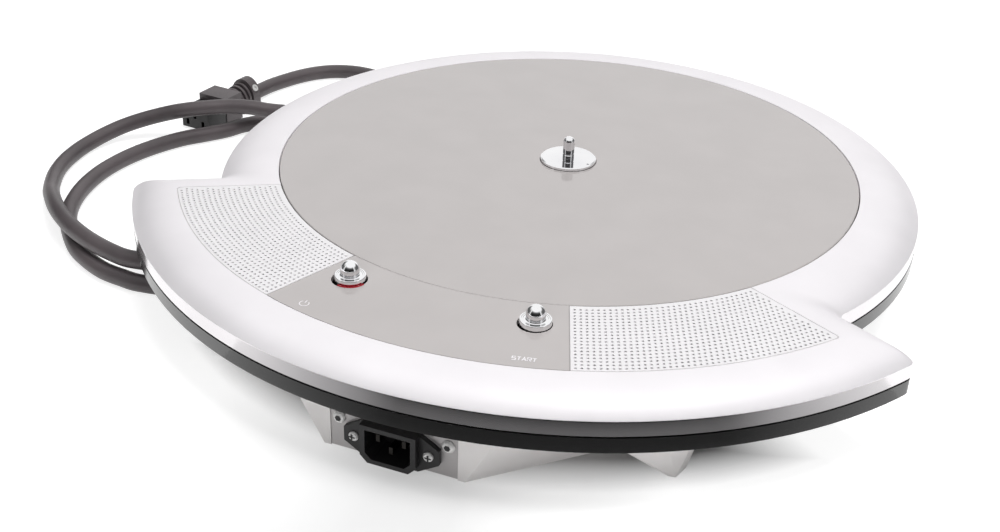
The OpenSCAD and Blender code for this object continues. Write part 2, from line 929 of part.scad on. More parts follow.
// plan of the front leg at the table and at its top, drawn in by inset
module leg_low(inset) {
    w = leg_half - inset;
    d = leg_y - inset;
    polygon([[-w, -d], [w, -d], [w + leg_run, leg_run - d], [w + leg_run, -leg_back - inset],
        [-w - leg_run, -leg_back - inset], [-w - leg_run, leg_run - d]]);
}

module leg_high(inset) {
    w = leg_top - inset;
    d = leg_y - inset;
    e = w + leg_run_top;
    polygon([[-w, -d], [w, -d], [e, leg_run_top - d], [e, -leg_back - inset],
        [-e, -leg_back - inset], [-e, leg_run_top - d]]);
}

module leg_form(inset, z0, z1) {
    hull() {
        translate([0, 0, z0])
            linear_extrude(0.01)
                leg_low(inset);
        translate([0, 0, z1 - 0.01])
            linear_extrude(0.01)
                leg_high(inset);
    }
}

module front_leg() {
    color("lightgray")
        from_spindle()
            difference() {
                union() {
                    difference() {
                        leg_form(0, 0, base_h);
                        leg_form(leg_t, leg_t, base_h - leg_t - 1);
                        translate([-plate_half - fit_gap, -leg_y - 1, -1])
                            cube([2 * (plate_half + fit_gap), opening_deep + 1, base_h - leg_t]);
                    }
                    both()
                        translate([24, -inlet_face + inlet_plate_t, leg_t - 0.5])
                            cube([leg_half - 24 + 2, 6, base_h - 2 * leg_t]);
                }
                both()
                    translate([plate_pitch / 2, -inlet_face, plate_screw_z])
                        rotate([-90, 0, 0])
                            cylinder(r = 1.65, h = 10, $fn = small_fn);
                at_points(leg_fix)
                    translate([0, 0, base_h - 9])
                        cylinder(r = leg_pilot, h = 10, $fn = small_fn);
                translate([wire_hole[0], wire_hole[1], base_h - 9])
                    cylinder(r = wire_hole_r, h = 10, $fn = small_fn);
                both()
                    translate([leg_half - 6, -leg_y + 12, -1])
                        cylinder(r = 4, h = 2.2, $fn = small_fn);
            }
}

// a faceted foot, narrow at the table
module right_leg() {
    color("lightgray")
        from_spindle()
            difference() {
                hull() {
                    translate([0, 0, 0.4])
                        linear_extrude(0.01)
                            translate([side_x, -side_y])
                                polygon(foot_low * [[-0.33, -1], [0.25, -0.92], [0.67, 0.67], [-0.83, 0.83]]);
                    translate([0, 0, base_h - 0.01])
                        linear_extrude(0.01)
                            translate([side_x, -side_y])
                                polygon(foot_high * [[-0.92, -1], [-0.08, -0.53], [0.33, -0.08],
                                    [0.36, 0.83], [-0.61, 0.44]]);
                }
                at_points(leg_fix)
                    translate([0, 0, base_h - leg_pilot_deep])
                        cylinder(r = leg_pilot, h = leg_pilot_deep + 1, $fn = small_fn);
                translate([side_x - 0.5, -side_y, -1])
                    cylinder(r = pad_r, h = pad_t + 1, $fn = small_fn);
            }
}

module left_leg() {
    mirror([1, 0, 0])
        right_leg();
}

module rear_legs() {
    color("lightgray")
        from_spindle()
            both()
                difference() {
                    hull() {
                        translate([0, 0, 0.4])
                            linear_extrude(0.01)
                                translate([rear_x, rear_y])
                                    polygon(rear_low * [[-0.29, 1], [0.86, 0.14], [0.43, -1],
                                        [-0.86, -0.29]]);
                        translate([0, 0, base_h - 0.01])
                            linear_extrude(0.01)
                                translate([rear_x, rear_y])
                                    polygon(rear_high * [[-1, 0.93], [0.1, 0.86], [0.86, -0.03],
                                        [0.72, -1], [-0.72, -0.52]]);
                    }
                    translate([rear_fix[0], rear_fix[1], base_h - leg_pilot_deep])
                        cylinder(r = leg_pilot, h = leg_pilot_deep + 1, $fn = small_fn);
                    translate([rear_x, rear_y, -1])
                        cylinder(r = pad_r, h = pad_t + 1, $fn = small_fn);
                }
}

module foot_pads() {
    color("dimgray")
        from_spindle()
            both() {
                translate([leg_half - 6, -leg_y + 12, 0])
                    cylinder(r = 4, h = 1.2, $fn = small_fn);
                translate([side_x - 0.5, -side_y, 0])
                    cylinder(r = pad_r, h = pad_t, $fn = small_fn);
                translate([rear_x, rear_y, 0])
                    cylinder(r = pad_r, h = pad_t, $fn = small_fn);
            }
}

// a rectangle in the plane of the inlet plate with its two lower corners cut
module sock_plan(w, h, c) {
    polygon([[-w / 2, h / 2], [w / 2, h / 2], [w / 2, c - h / 2], [w / 2 - c, -h / 2], [c - w / 2, -h / 2],
        [-w / 2, c - h / 2]]);
}

// stands a plan up in the inlet's plane, from depth a to depth b behind the plate's face
module upright(a, b) {
    translate([0, b - inlet_face, inlet_z])
        rotate([90, 0, 0])
            linear_extrude(b - a)
                children();
}

module inlet_plate() {
    color("darkgray")
        from_spindle()
            difference() {
                translate([-plate_half, -inlet_face, 0.4])
                    cube([2 * plate_half, inlet_plate_t, base_h - leg_t - 1.8]);
                upright(-1, inlet_plate_t + 1)
                    square([body_w + 0.4, body_h + 0.4], center = true);
                both()
                    translate([inlet_pitch / 2, -inlet_face - 1, inlet_z])
                        rotate([-90, 0, 0])
                            cylinder(r = 1.6, h = inlet_plate_t + 2, $fn = small_fn);
                both()
                    translate([plate_pitch / 2, -inlet_face - 1, plate_screw_z])
                        rotate([-90, 0, 0])
                            cylinder(r = 2.1, h = inlet_plate_t + 2, $fn = small_fn);
            }
}

// plan of the three blades
module blades(w, h) {
    for (p = [[-7, 2.5], [7, 2.5], [0, -3]])
        translate(p)
            square([w, h], center = true);
}

module inlet_body() {
    color("dimgray")
        from_spindle()
            difference() {
                union() {
                    upright(-flange_proud, 0)
                        polygon([[-25.5, 4], [-14.5, shroud_h / 2], [14.5, shroud_h / 2], [25.5, 4],
                            [25.5, -4], [14.5, -shroud_h / 2], [-14.5, -shroud_h / 2], [-25.5, -4]]);
                    upright(-shroud_proud, 0)
                        sock_plan(shroud_w, shroud_h, 4);
                    upright(-1, body_deep)
                        square([body_w, body_h], center = true);
                }
                upright(-shroud_proud - 1, sock_deep)
                    sock_plan(sock_w, sock_h, 3.4);
                upright(0, body_deep + 1)
                    blades(2, 4);
                both()
                    translate([inlet_pitch / 2, -inlet_face - flange_proud - 1, inlet_z])
                        rotate([-90, 0, 0])
                            cylinder(r = 1.6, h = flange_proud + 2, $fn = small_fn);
            }
}

module inlet_pins() {
    color("gold")
        from_spindle()
            upright(-blade_in, body_deep + blade_tail)
                blades(2, 4);
}

module inlet_screws() {
    stud = flange_proud + inlet_plate_t + 4;
    color("silver")
        from_spindle()
            both()
                translate([inlet_pitch / 2, -inlet_face - flange_proud, inlet_z])
                    rotate([90, 0, 0])
                        difference() {
                            union() {
                                rotate_extrude($fn = small_fn)
                                    polygon([[0, 0], [2.6, 0], [2.6, 0.8], [1.9, 1.6], [0, 1.9]]);
                                translate([0, 0, -stud])
                                    cylinder(r = 1.5, h = stud + 0.5, $fn = small_fn);
                            }
                            translate([0, 0, 1.9]) {
                                cube([3, 0.7, 1.8], center = true);
                                cube([0.7, 3, 1.8], center = true);
                            }
                        }
    color("silver")
        from_spindle()
            both()
                translate([inlet_pitch / 2, -inlet_face + inlet_plate_t, inlet_z])
                    rotate([-90, 0, 0])
                        difference() {
                            cylinder(r = 3.1, h = 2.4, $fn = 6);
                            translate([0, 0, -1])
                                cylinder(r = 1.4, h = 5, $fn = small_fn);
                        }
}

module plate_screws() {
    color("silver")
        from_spindle()
            both()
                translate([plate_pitch / 2, -inlet_face, plate_screw_z])
                    rotate([90, 0, 0])
                        difference() {
                            union() {
                                rotate_extrude($fn = small_fn)
                                    polygon([[0, 0], [3.4, 0], [3.4, 0.6], [2.6, 1.6], [1.6, 2], [0, 2]]);
                                translate([0, 0, -8])
                                    cylinder(r = 1.65, h = 8.5, $fn = small_fn);
                            }
                            translate([0, 0, 0.8])
                                cylinder(r = 1.45, h = 3, $fn = 6);
                        }
}

module shell_screws() {
    color("silver")
        from_spindle()
            at_bosses()
                union() {
                    translate([0, 0, base_h - head_h])
                        cylinder(r = shell_head_r, h = head_h, $fn = small_fn);
                    translate([0, 0, base_h - 0.5])
                        cylinder(r = boss_pilot, h = shell_screw_in + 0.5, $fn = small_fn);
                }
}

module leg_screws() {
    color("silver")
        from_spindle()
            at_points(leg_fix) {
                translate([0, 0, z_floor])
                    cylinder(r = leg_head_r, h = head_h, $fn = small_fn);
                translate([0, 0, base_h - leg_screw_in])
                    cylinder(r = leg_pilot, h = leg_screw_in + floor_t + 1, $fn = small_fn);
            }
}

module cord_run() {
    echo(cord_self_gap = self_gap(finer(route, 8 * cord_rings), cord_d, 3 * cord_rings / 10));
    color("dimgray")
        from_spindle()
            tube(finer(route, cord_rings), cord_r, cord_sides);
}

// plan of an arch that stands on the table, w wide and h high, with its curve starting at that height
module arch(w, h, spring) {
    polygon(concat([[-w / 2, 0], [w / 2, 0]],
        [for (i = [0:12]) [w / 2 * cos(15 * i), spring + (h - spring) * sin(15 * i)]]));
}

// an arch along the connector, from x for a length l
module arch_run(x, l, w, h, spring) {
    translate([x, 0, 0])
        rotate([90, 0, 90])
            linear_extrude(l)
                arch(w, h, spring);
}

// places a piece that is drawn along the connector's own line
module at_connector() {
    from_spindle()
        translate([conn_at[0], conn_at[1], 0])
            rotate([0, 0, conn_ang])
                children();
}

// the screw's line, out of the clamp block's side
module at_clamp_screw() {
    translate([clamp_screw_x, -clamp_w / 2 * cos(clamp_screw_turn),
        clamp_spring + (clamp_h - clamp_spring) * sin(clamp_screw_turn)])
        rotate([90 - clamp_screw_turn, 0, 0])
            children();
}

// the lead's connector: shoulder, ribbed waist and rounded clamp block, lying on the table
module cord_connector() {
    color("dimgray")
        at_connector()
            difference() {
                union() {
                    translate([nose_len, -conn_w / 2, 0])
                        cube([18, conn_w, 20.5]);
                    arch_run(nose_len + 17, clamp_x - nose_len - 16, 17, 14.5, 7);
                    for (i = [0:3])
                        arch_run(39.6 + 4.2 * i, 2.2, 20, 17.5 + 0.9 * i, 8);
                    arch_run(clamp_x, conn_len - clamp_x, clamp_w, clamp_h, clamp_spring);
                }
                at_clamp_screw()
                    translate([0, 0, -4])
                        cylinder(r = clamp_screw_r, h = 8, $fn = small_fn);
            }
}

// the connector's moulded nose with its three contact slots
module connector_nose() {
    color("black")
        at_connector()
            difference() {
                translate([0, -12, 2])
                    cube([nose_len, 24, 14]);
                for (p = [[-7, 6.5], [7, 6.5], [0, 12]])
                    translate([-1, p[0] - 1.3, p[1] - 2.3])
                        cube([16, 2.6, 4.6]);
            }
}

module connector_screw() {
    color("silver")
        at_connector()
            at_clamp_screw()
                difference() {
                    translate([0, 0, -4])
                        cylinder(r = clamp_screw_r, h = 4.4, $fn = small_fn);
                    translate([0, 0, -0.8])
                        cylinder(r = 1.3, h = 3, $fn = 6);
                }
}

module plug_relief() {
    color("dimgray")
        from_spindle()
            translate([plug_at[0], plug_at[1], plug_z])
                rotate([0, 90, 0])
                    rotate_extrude($fn = small_fn)
                        polygon([[0, 0], [cord_r + 0.8, 0], [cord_r + 1, relief_len * 0.2],
                            [cord_r + 2.5, relief_len * 0.7], [cord_r + 4, relief_len], [0, relief_len]]);
}

module cord_plug() {
    r = plug_d / 2;
    color("dimgray")
        from_spindle()
            translate([plug_at[0] + relief_len, plug_at[1], plug_z])
                rotate([0, 90, 0])
                    difference() {
                        rotate_extrude($fn = mid_fn)
                            polygon([[0, 0], [cord_r + 5, 0], [r * 0.72, 6], [r * 0.8, 20], [r, 26],
                                [r, plug_len], [0, plug_len]]);
                        for (s = [-1, 1])
                            translate([0, 9.5 * s, plug_len - 8])
                                cylinder(r = plug_pin_r + 0.05, h = 9, $fn = small_fn);
                    }
}

module plug_pins() {
    color("silver")
        from_spindle()
            translate([plug_at[0] + relief_len + plug_len, plug_at[1], plug_z])
                rotate([0, 90, 0])
                    for (s = [-1, 1])
                        translate([0, 9.5 * s, -8])
                            rotate_extrude($fn = small_fn)
                                polygon([[0, 0], [plug_pin_r, 0], [plug_pin_r, pin_len + 6.5],
                                    [plug_pin_r / 2, pin_len + 8], [0, pin_len + 8]]);
}

top_shell();
bottom_shell();
record_plate();
control_panel();
left_grille();
right_grille();
spindle_pin();
spindle_flange();
spindle_washer();
spindle_nut();
power_button();
start_button();
power_clip();
start_clip();
power_spring();
start_spring();
power_guide();
start_guide();
power_switch();
start_switch();
power_light();
pole_plate();
coil_former();
coil_winding();
coil_hub();
thermal_cutout();
control_board();
board_screws();
terminal_block();
relay();
capacitor();
fuse_holder();
grommet();
inlet_leads();
coil_leads();
front_leg();
left_leg();
right_leg();
rear_legs();
foot_pads();
inlet_plate();
inlet_body();
inlet_pins();
inlet_screws();
plate_screws();
shell_screws();
leg_screws();
cord_run();
cord_connector();
connector_nose();
connector_screw();
cord_plug();
plug_relief();
plug_pins();
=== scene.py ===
"""Record demagnetizer, dressed for a studio photograph.

Sizes and plan points are in millimetres about the spindle, as the object is drawn, and place() turns
them into the frame. An angle "from the front" is in degrees, measured at the spindle, from straight
towards the front to the right.
"""
import json
import math

import bpy
from mathutils import Matrix, Vector
from mathutils.geometry import delaunay_2d_cdt


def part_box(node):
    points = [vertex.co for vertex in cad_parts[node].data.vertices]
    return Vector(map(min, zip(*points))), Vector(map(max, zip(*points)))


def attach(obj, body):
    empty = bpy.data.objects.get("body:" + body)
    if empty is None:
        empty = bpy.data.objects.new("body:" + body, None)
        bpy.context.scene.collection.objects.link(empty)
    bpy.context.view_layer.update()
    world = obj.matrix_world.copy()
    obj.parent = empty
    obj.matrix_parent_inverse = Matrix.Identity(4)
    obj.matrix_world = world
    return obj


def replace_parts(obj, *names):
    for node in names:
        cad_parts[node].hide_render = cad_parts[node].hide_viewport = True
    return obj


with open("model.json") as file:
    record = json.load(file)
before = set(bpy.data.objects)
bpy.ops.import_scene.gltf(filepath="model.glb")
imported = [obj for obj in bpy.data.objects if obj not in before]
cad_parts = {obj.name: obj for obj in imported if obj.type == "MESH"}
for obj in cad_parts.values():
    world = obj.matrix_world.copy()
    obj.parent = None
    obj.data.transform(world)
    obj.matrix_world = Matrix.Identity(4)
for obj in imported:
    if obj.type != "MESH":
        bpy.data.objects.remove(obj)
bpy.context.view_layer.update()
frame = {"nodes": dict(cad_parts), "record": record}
nodes = frame["nodes"]

MM = 0.001


# Sizes

plate_low, plate_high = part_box("record_plate")
MID_Y = (plate_low.y + plate_high.y) / 2 / MM
PLATE_R = (plate_high.x - plate_low.x) / 2 / MM
Z_TOP = plate_high.z / MM
SEAM = 0.5

# White shell: a round rim and a crescent, which meet in a notch on each side
RIM_R = 208.6
WING_R = 258.4
WING_HALF = 60.2
RIGHT_EXTRA = 0.6
TIP_R = 4
TIP_POW = 14
CORNER_END = 150
NOTCH_SOFT = 0.36
NOTCH_REACH = 10
NOTCH_TURN = 3
NOTCH_DROP = 4
RIM_FROM = 64

# Lines of points across the shell, section by section
FRONT_LINES = 110
TIP_LINES = 24
BACK_LINES = 36
NOTCH_LINES = 24
RIM_LINES = 250

# Its roll, from the flat down to the upright band
ROLL_H = 9.4
ROLL_GENTLE = 0.45
ROLL_GENTLE_POW = 1.8
ROLL_POW = 4.5
RIM_ROLL = 33.6
WING_ROLL = 25.4
BACK_ROLL = 20
SHELL_STEPS = 30
SHELL_DEEP = 3
SHELL_EASE = 0.25
SHELL_NEAR = 0.2
SHELL_LIP = 0.3

# The band's points: below the roll, above the seam, and inward along the seam
BAND_H = 8.5
BAND_TOP = (0.25, 0.8)
BAND_FOOT = (0.7, 0.2)
BAND_UNDER = (0.25, 5)

# The lower skin's points: (inside the edge, below the seam), then (inside the edge, above its floor)
SKIN = 0.12
SKIN_TOP = ((1.2, 0), (0.9, 0.75), (-SKIN, 0.8))
SKIN_FOOT = ((-SKIN, 0.25), (0.2, -0.05), (14, -0.05))

# Panel and grilles
PANEL_HALF = 20.2
PANEL_R = 232.2
GRILLE_EDGE = 23.2
GRILLE_CORNER = 2
GRILLE_GAP = 0.2
GRILLE_DEEP = 1.2
GRILLE_INNER_POINTS = 48

HOLE_ROWS = 19
HOLE_FIRST_R = 177.6
HOLE_ROW_STEP = 2.915
HOLE_PITCH = 2.96
HOLE_START = 2.62
HOLE_R = 0.72
HOLE_SIDES = 10
HOLE_MARGIN = 2.3

# Flat bands: the strips of painted shade in the seams, and the marks
STRIP_LAP = 0.2
STRIP_DOWN = 0.3
PLATE_STRIP_LAP = 0.3
PANEL_STRIP_DOWN = 0.35
STROKE_LIFT = 0.01
MARK_UP = 0.05

# Spindle, and the ring of painted shadow round its flange
PIN_R = 3.5
PIN_DOME = 3
PIN_GROOVE_UP = 2.4
PIN_GROOVE_DEEP = 0.3
FLANGE_GAP = 0.15
FLANGE_SHADE = 0.6
FLANGE_SHADE_UP = 0.03

# Buttons and the red light
RING_H = 2.9
RING_TRIM = 0.05
RING_IN = 2.5
RING_EASE = 0.2
RING_ROUND = 0.4
RING_STEP = 0.12
DOME_R = 5
BUTTON_SHIFT = 0.4
LIGHT_TURN = 29
LIGHT_HALF = 46
LIGHT_GAP = 0.4
LIGHT_WIDE = 0.8
LIGHT_UP = 0.5
LIGHT_DOWN = 2

# Marks on the panel
START_AT = (52.3, -220.6)
START_UNIT = 0.57
START_TURN = 12
START_PITCH = 4.3
START_STROKE = 0.62
POWER_AT = (-59.2, -217.4)
POWER_R = 2.4
POWER_STROKE = 0.5

# Screws by the mains inlet, and the painted shade in their driver recesses
SOCKET_HEAD_R = 3.4
CROSS_HEAD_R = 2.6
RECESS_R = 1.75
CROSS_HALF = 0.42
RECESS_OUT = 0.03

# Finishes
WHITE_METAL = 0.36
MOTTLE = 30
COAT_ROUGH = 0.05
BUMP_DEPTH = 0.0001

# Floor: its tones, and its painted glow, which lifts the shadow save in a pool of painted shade in front, by
# (degrees from the pool's middle, share)
FLOOR_HALF = 4.0
FLOOR_SHADE = 0.85
FLOOR_SEEN = 0.5
FLOOR_GLOW = 0.56
FAR_EDGE = (420, 620)
FAR_GLOW = 0.8
POOL_TURN = 5
POOL_EDGE = (215, 242)
POOL_GLOW = ((-30, 1.4), (-14, 0.98), (-4, 0.72), (4, 0.72), (14, 1.12), (28, 1.5))
AWAY_GLOW = (
    (-180, 1.3), (-150, 0.92), (-80, 0.92), (-66, 1.35), (-44, 1.4), (-34, 0),
    (36, 0), (48, 1.55), (180, 1.3),
)

# Cards that paint dark reflections, seen only in reflections: rows of (radius, height, darkness), and four
# angles from the front
CARD_DARK = 0.98
CARD_STEPS = 40
FLOOR_CARD = [(290, 1, 0), (300, 1, 0.7), (308, 1, 0.84), (324, 1, 0.87), (336, 1, 1), (1000, 1, 1)]
FLOOR_CARD_SIDES = (-30, -3, 42, 68)
ROOM_CARD = [(1500, 2, 1), (1500, 600, 1), (1500, 1100, 0.9), (1500, 1500, 0.4), (1500, 1900, 0)]
ROOM_CARD_SIDES = (-105, -70, 65, 95)
WALL_CARD = [(1480, 2, 0.9), (1480, 850, 0.9), (1480, 1400, 0)]
RIGHT_CARD_SIDES = (70, 95, 150, 172)
LEFT_CARD_SIDES = (224, 240, 300, 320)

# Light: the lamps' places and sizes are in metres
SKY_LOW = 0.02
SKY_HIGH = 0.6
SKY_FROM = 0.2
BRIGHT_SIDE = (0.12, -0.15, 1)
KEY_AT = (0.5, -0.22, 2.15)
KEY_TOWARDS = (0, 0, 0)
KEY_SIZE = (1.0, 0.9)
KEY_WATTS = 31.5
LOW_AT = (0.25, -1.5, 0.4)
LOW_TOWARDS = (0, -0.2, 0.03)
LOW_SIZE = (0.7, 0.3)
LOW_WATTS = 4.2

# Camera
LENS = 48.894
CAMERA_AT = (240.80, -691.14, 407.29)
CAMERA_TURN = 21.562
CAMERA_DOWN = 29.083
CAMERA_ROLL = 1.972

# Mains lead, from the connector to the plug
CORD_D = 10.8
CORD_ROUTE = [
    (-302.4, 120.6, 6.5), (-301.6, 128, 6.4), (-300.8, 137, 6.2), (-299.5, 147, 5.9),
    (-296, 159, 5.7), (-290, 173.5, 5.7), (-281, 187.5, 5.7), (-268, 198, 5.7), (-250, 203, 5.7),
    (-230, 200, 5.7), (-211, 187, 5.7), (-197, 164, 5.7), (-185, 132, 5.7), (-177, 96, 5.7),
    (-173, 58, 5.7), (-172, 20, 5.7), (-171, -20, 5.7), (-167, -56, 5.7), (-162.5, -84, 5.7),
    (-161, -110, 5.7), (-167, -133, 5.7), (-183, -149, 5.7), (-206.5, -154.7, 5.7),
    (-220.8, -153.9, 5.7), (-235.9, -151.3, 5.7), (-253.5, -143.9, 5.7), (-269.2, -133.9, 5.7),
    (-287.4, -116.3, 5.7), (-301.5, -98.4, 5.7), (-310.6, -80.3, 5.7), (-316.7, -61.5, 5.7),
    (-319.9, -41.2, 5.7), (-319.6, -21.6, 5.7), (-316.5, -3.2, 5.7), (-310.8, 14.2, 5.7),
    (-302.7, 30.7, 5.7), (-292.3, 44.5, 5.7), (-282.9, 57.7, 5.7), (-276.3, 71.5, 5.7),
    (-262, 88, 5.7), (-240.5, 96, 5.7), (-217.5, 92, 5.7), (-200, 77, 5.7), (-192, 55, 5.7),
    (-191, 30, 5.7), (-191, 4, 5.7), (-190, -22, 5.7), (-185, -48, 6.4), (-177, -76, 9.4),
    (-172.5, -104, 13), (-177.5, -127.5, 15.6), (-193.5, -143.5, 17), (-215.3, -149.4, 17),
    (-230.8, -147.5, 17), (-248.1, -142.3, 17), (-263.5, -135.8, 17), (-279.3, -127.3, 17.2),
    (-296.9, -114.3, 16.4), (-316.6, -95.1, 12.4), (-330.7, -78.6, 8.6), (-344.9, -56.8, 6),
    (-351.9, -39.7, 5.7), (-355.3, -24.3, 5.7), (-356.4, -10.2, 6), (-353.9, 7.4, 7.5),
    (-346.9, 20.7, 10.5), (-335.8, 29.7, 14.5), (-322.8, 36.7, 18.5), (-310.4, 40.8, 22),
    (-296.6, 49.6, 23.5), (-281.1, 61, 23.5), (-267.1, 68.2, 22.5), (-255.8, 74.2, 20),
    (-229, 86, 18), (-203, 99, 17.6), (-181, 114, 17.4), (-161, 131, 13.4), (-145, 150, 7.8),
    (-134, 170, 5.8), (-129, 190, 6.4), (-122, 209, 9.4), (-108, 223.5, 14), (-88, 230, 17.6),
    (-80, 230, 18), (-72, 230, 18),
]


# Helpers

def place(x, y, z):
    """A point about the spindle, in millimetres, as a point of the frame."""
    return Vector((x, y + MID_Y, z)) * MM


def polar(r, angle):
    """The plan point at that radius and angle from the front."""
    a = math.radians(angle)
    return Vector((r * math.sin(a), -r * math.cos(a)))


def steps(first, last, count):
    """Evenly spaced values, both ends among them."""
    return [first + (last - first) * i / (count - 1) for i in range(count)]


def add_object(name, data):
    """A new object in the scene."""
    obj = bpy.data.objects.new(name, data)
    bpy.context.scene.collection.objects.link(obj)
    return obj


def add_mesh(name, points, faces, material, body="body", smooth=True, sharp=35):
    """A mesh piece made from frame points, on its body and with its finish."""
    mesh = bpy.data.meshes.new(name)
    mesh.from_pydata([tuple(p) for p in points], [], faces)
    mesh.validate()
    mesh.materials.append(material)
    if smooth:
        mesh.shade_smooth()
        mesh.set_sharp_from_angle(angle=math.radians(sharp))
    obj = add_object(name, mesh)
    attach(obj, body)
    return obj


def strip_faces(rows, width, closed):
    """Faces between rows of so many points; a closed strip joins its last row to its first."""
    faces = []
    for i in range(rows if closed else rows - 1):
        j = (i + 1) % rows
        for k in range(width - 1):
            faces.append((i * width + k, i * width + k + 1, j * width + k + 1, j * width + k))
    return faces


def lathe(name, profile, centre, material, body="body", sides=96):
    """A turned piece: profile points are (radius, height above the table) from the bottom up."""
    points = []
    faces = []
    for r, z in profile:
        for i in range(sides):
            a = math.tau * i / sides
            points.append(place(centre[0] + r * math.cos(a), centre[1] + r * math.sin(a), z))
    for k in range(len(profile) - 1):
        for i in range(sides):
            j = (i + 1) % sides
            faces.append((k * sides + i, k * sides + j, (k + 1) * sides + j, (k + 1) * sides + i))
    last = (len(profile) - 1) * sides
    faces.append(tuple(range(last, last + sides)))
    return add_mesh(name, points, faces, material, body)


def arc(centre_r, centre_z, radius, first, last, count):
    """Profile points on an arc, by its angles above the horizontal."""
    return [
        (centre_r + radius * math.cos(math.radians(a)), centre_z + radius * math.sin(math.radians(a)))
        for a in steps(first, last, count)
    ]


# Materials

def srgb(r, g, b):
    """A colour as it looks on screen, as the linear colour that a shader takes."""
    def linear(v):
        v = v / 255
        return v / 12.92 if v <= 0.04045 else ((v + 0.055) / 1.055) ** 2.4
    return (linear(r), linear(g), linear(b), 1)


def grey(level):
    """A grey of that linear level."""
    return (level, level, level, 1)


def finish(
    name, light, dark, rough, rough_spread=0.05, metal=0.0, grain=400, bump=0.05, coat=0.0, specular=0.5,
):
    """A finish whose colour wanders between two close tones, with a fine grain in its gloss and surface."""
    material = bpy.data.materials.new(name)
    material.use_nodes = True
    tree = material.node_tree
    shader = tree.nodes["Principled BSDF"]
    shader.inputs["Metallic"].default_value = metal
    shader.inputs["Specular IOR Level"].default_value = specular
    shader.inputs["Coat Weight"].default_value = coat
    shader.inputs["Coat Roughness"].default_value = COAT_ROUGH
    where = tree.nodes.new("ShaderNodeTexCoord")

    cloud = tree.nodes.new("ShaderNodeTexNoise")
    cloud.inputs["Scale"].default_value = MOTTLE
    cloud.inputs["Detail"].default_value = 3
    tree.links.new(where.outputs["Object"], cloud.inputs["Vector"])
    tones = tree.nodes.new("ShaderNodeValToRGB")
    tones.color_ramp.elements[0].position = 0.35
    tones.color_ramp.elements[0].color = dark
    tones.color_ramp.elements[1].position = 0.65
    tones.color_ramp.elements[1].color = light
    tree.links.new(cloud.outputs["Fac"], tones.inputs["Fac"])
    tree.links.new(tones.outputs["Color"], shader.inputs["Base Color"])

    fine = tree.nodes.new("ShaderNodeTexNoise")
    fine.inputs["Scale"].default_value = grain
    fine.inputs["Detail"].default_value = 4
    tree.links.new(where.outputs["Object"], fine.inputs["Vector"])
    gloss = tree.nodes.new("ShaderNodeMapRange")
    gloss.inputs["From Min"].default_value = 0.3
    gloss.inputs["From Max"].default_value = 0.7
    gloss.inputs["To Min"].default_value = max(0.0, rough - rough_spread)
    gloss.inputs["To Max"].default_value = min(1.0, rough + rough_spread)
    tree.links.new(fine.outputs["Fac"], gloss.inputs["Value"])
    tree.links.new(gloss.outputs["Result"], shader.inputs["Roughness"])

    if bump > 0:
        relief = tree.nodes.new("ShaderNodeBump")
        relief.inputs["Strength"].default_value = bump
        relief.inputs["Distance"].default_value = BUMP_DEPTH
        tree.links.new(fine.outputs["Fac"], relief.inputs["Height"])
        tree.links.new(relief.outputs["Normal"], shader.inputs["Normal"])
    return material


white = finish(
    "shell_white", srgb(247, 244, 247), srgb(244, 241, 244), 0.42, 0.02,
    metal=WHITE_METAL, grain=300, bump=0, specular=0,
)
silver = finish(
    "band_silver", srgb(226, 223, 225), srgb(220, 217, 219), 0.14, 0.02, metal=1.0, grain=300, bump=0,
)
black = finish("shell_black", srgb(8, 7, 8), srgb(5, 5, 5), 0.12, 0.02, grain=300, bump=0, specular=1)
grey_plate = finish("plate_grey", srgb(191, 186, 185), srgb(188, 183, 182), 0.05, 0.01, grain=1200, bump=0)
grey_panel = finish("panel_grey", srgb(192, 187, 186), srgb(189, 184, 183), 0.03, 0.01, grain=1200, bump=0)
grille_white = finish("grille_white", srgb(240, 238, 240), srgb(237, 235, 237), 0.42, 0.04, grain=900)
# Painted shade: a grey that stands in for the shade inside the grille's holes and in its seam by the panel.
grille_shade = finish("grille_shade", srgb(172, 168, 168), srgb(160, 156, 156), 0.7, 0.05, grain=500)
chrome = finish(
    "polished", srgb(246, 246, 247), srgb(238, 238, 240), 0.06, 0.02, metal=1.0, grain=700, bump=0,
)
# Painted shade for seams: a pale strip by the shell, and a dark one by the record plate and round the flange.
seam_shade_pale = finish("seam_shade_pale", srgb(206, 203, 204), srgb(198, 195, 196), 0.7, 0.05, grain=500)
seam_shade_dark = finish("seam_shade_dark", srgb(96, 92, 92), srgb(84, 80, 80), 0.7, 0.05, grain=500)
zinc = finish("zinc_steel", srgb(196, 196, 194), srgb(170, 170, 168), 0.28, 0.08, metal=1.0, grain=900)
spring_steel = finish("spring_steel", srgb(150, 150, 152), srgb(128, 128, 130), 0.3, 0.08, metal=1.0)
core_steel = finish("core_steel", srgb(110, 112, 116), srgb(92, 94, 98), 0.45, 0.1, metal=1.0)
red = finish("light_red", srgb(176, 22, 38), srgb(158, 16, 32), 0.2, 0.05, coat=0.4)
inner_plastic = finish("inner_plastic", srgb(30, 29, 30), srgb(24, 23, 24), 0.5, 0.08)
former_plastic = finish("former", srgb(222, 214, 196), srgb(208, 200, 182), 0.5, 0.08)
copper = finish("copper", srgb(186, 104, 60), srgb(160, 84, 46), 0.35, 0.1, metal=1.0, grain=1500)
board_green = finish("board", srgb(38, 92, 62), srgb(30, 78, 52), 0.4, 0.08)
lead_sheath = finish("leads", srgb(48, 46, 48), srgb(38, 36, 38), 0.55, 0.08)
base_grey = finish("base_grey", srgb(236, 233, 232), srgb(230, 227, 226), 0.42, 0.06, grain=1500, bump=0.12)
rubber = finish("pads", srgb(34, 33, 34), srgb(26, 25, 26), 0.8, 0.08, bump=0.3)
inlet_grey = finish("inlet_grey", srgb(184, 181, 181), srgb(174, 171, 171), 0.4, 0.06, metal=0.6, grain=1500)
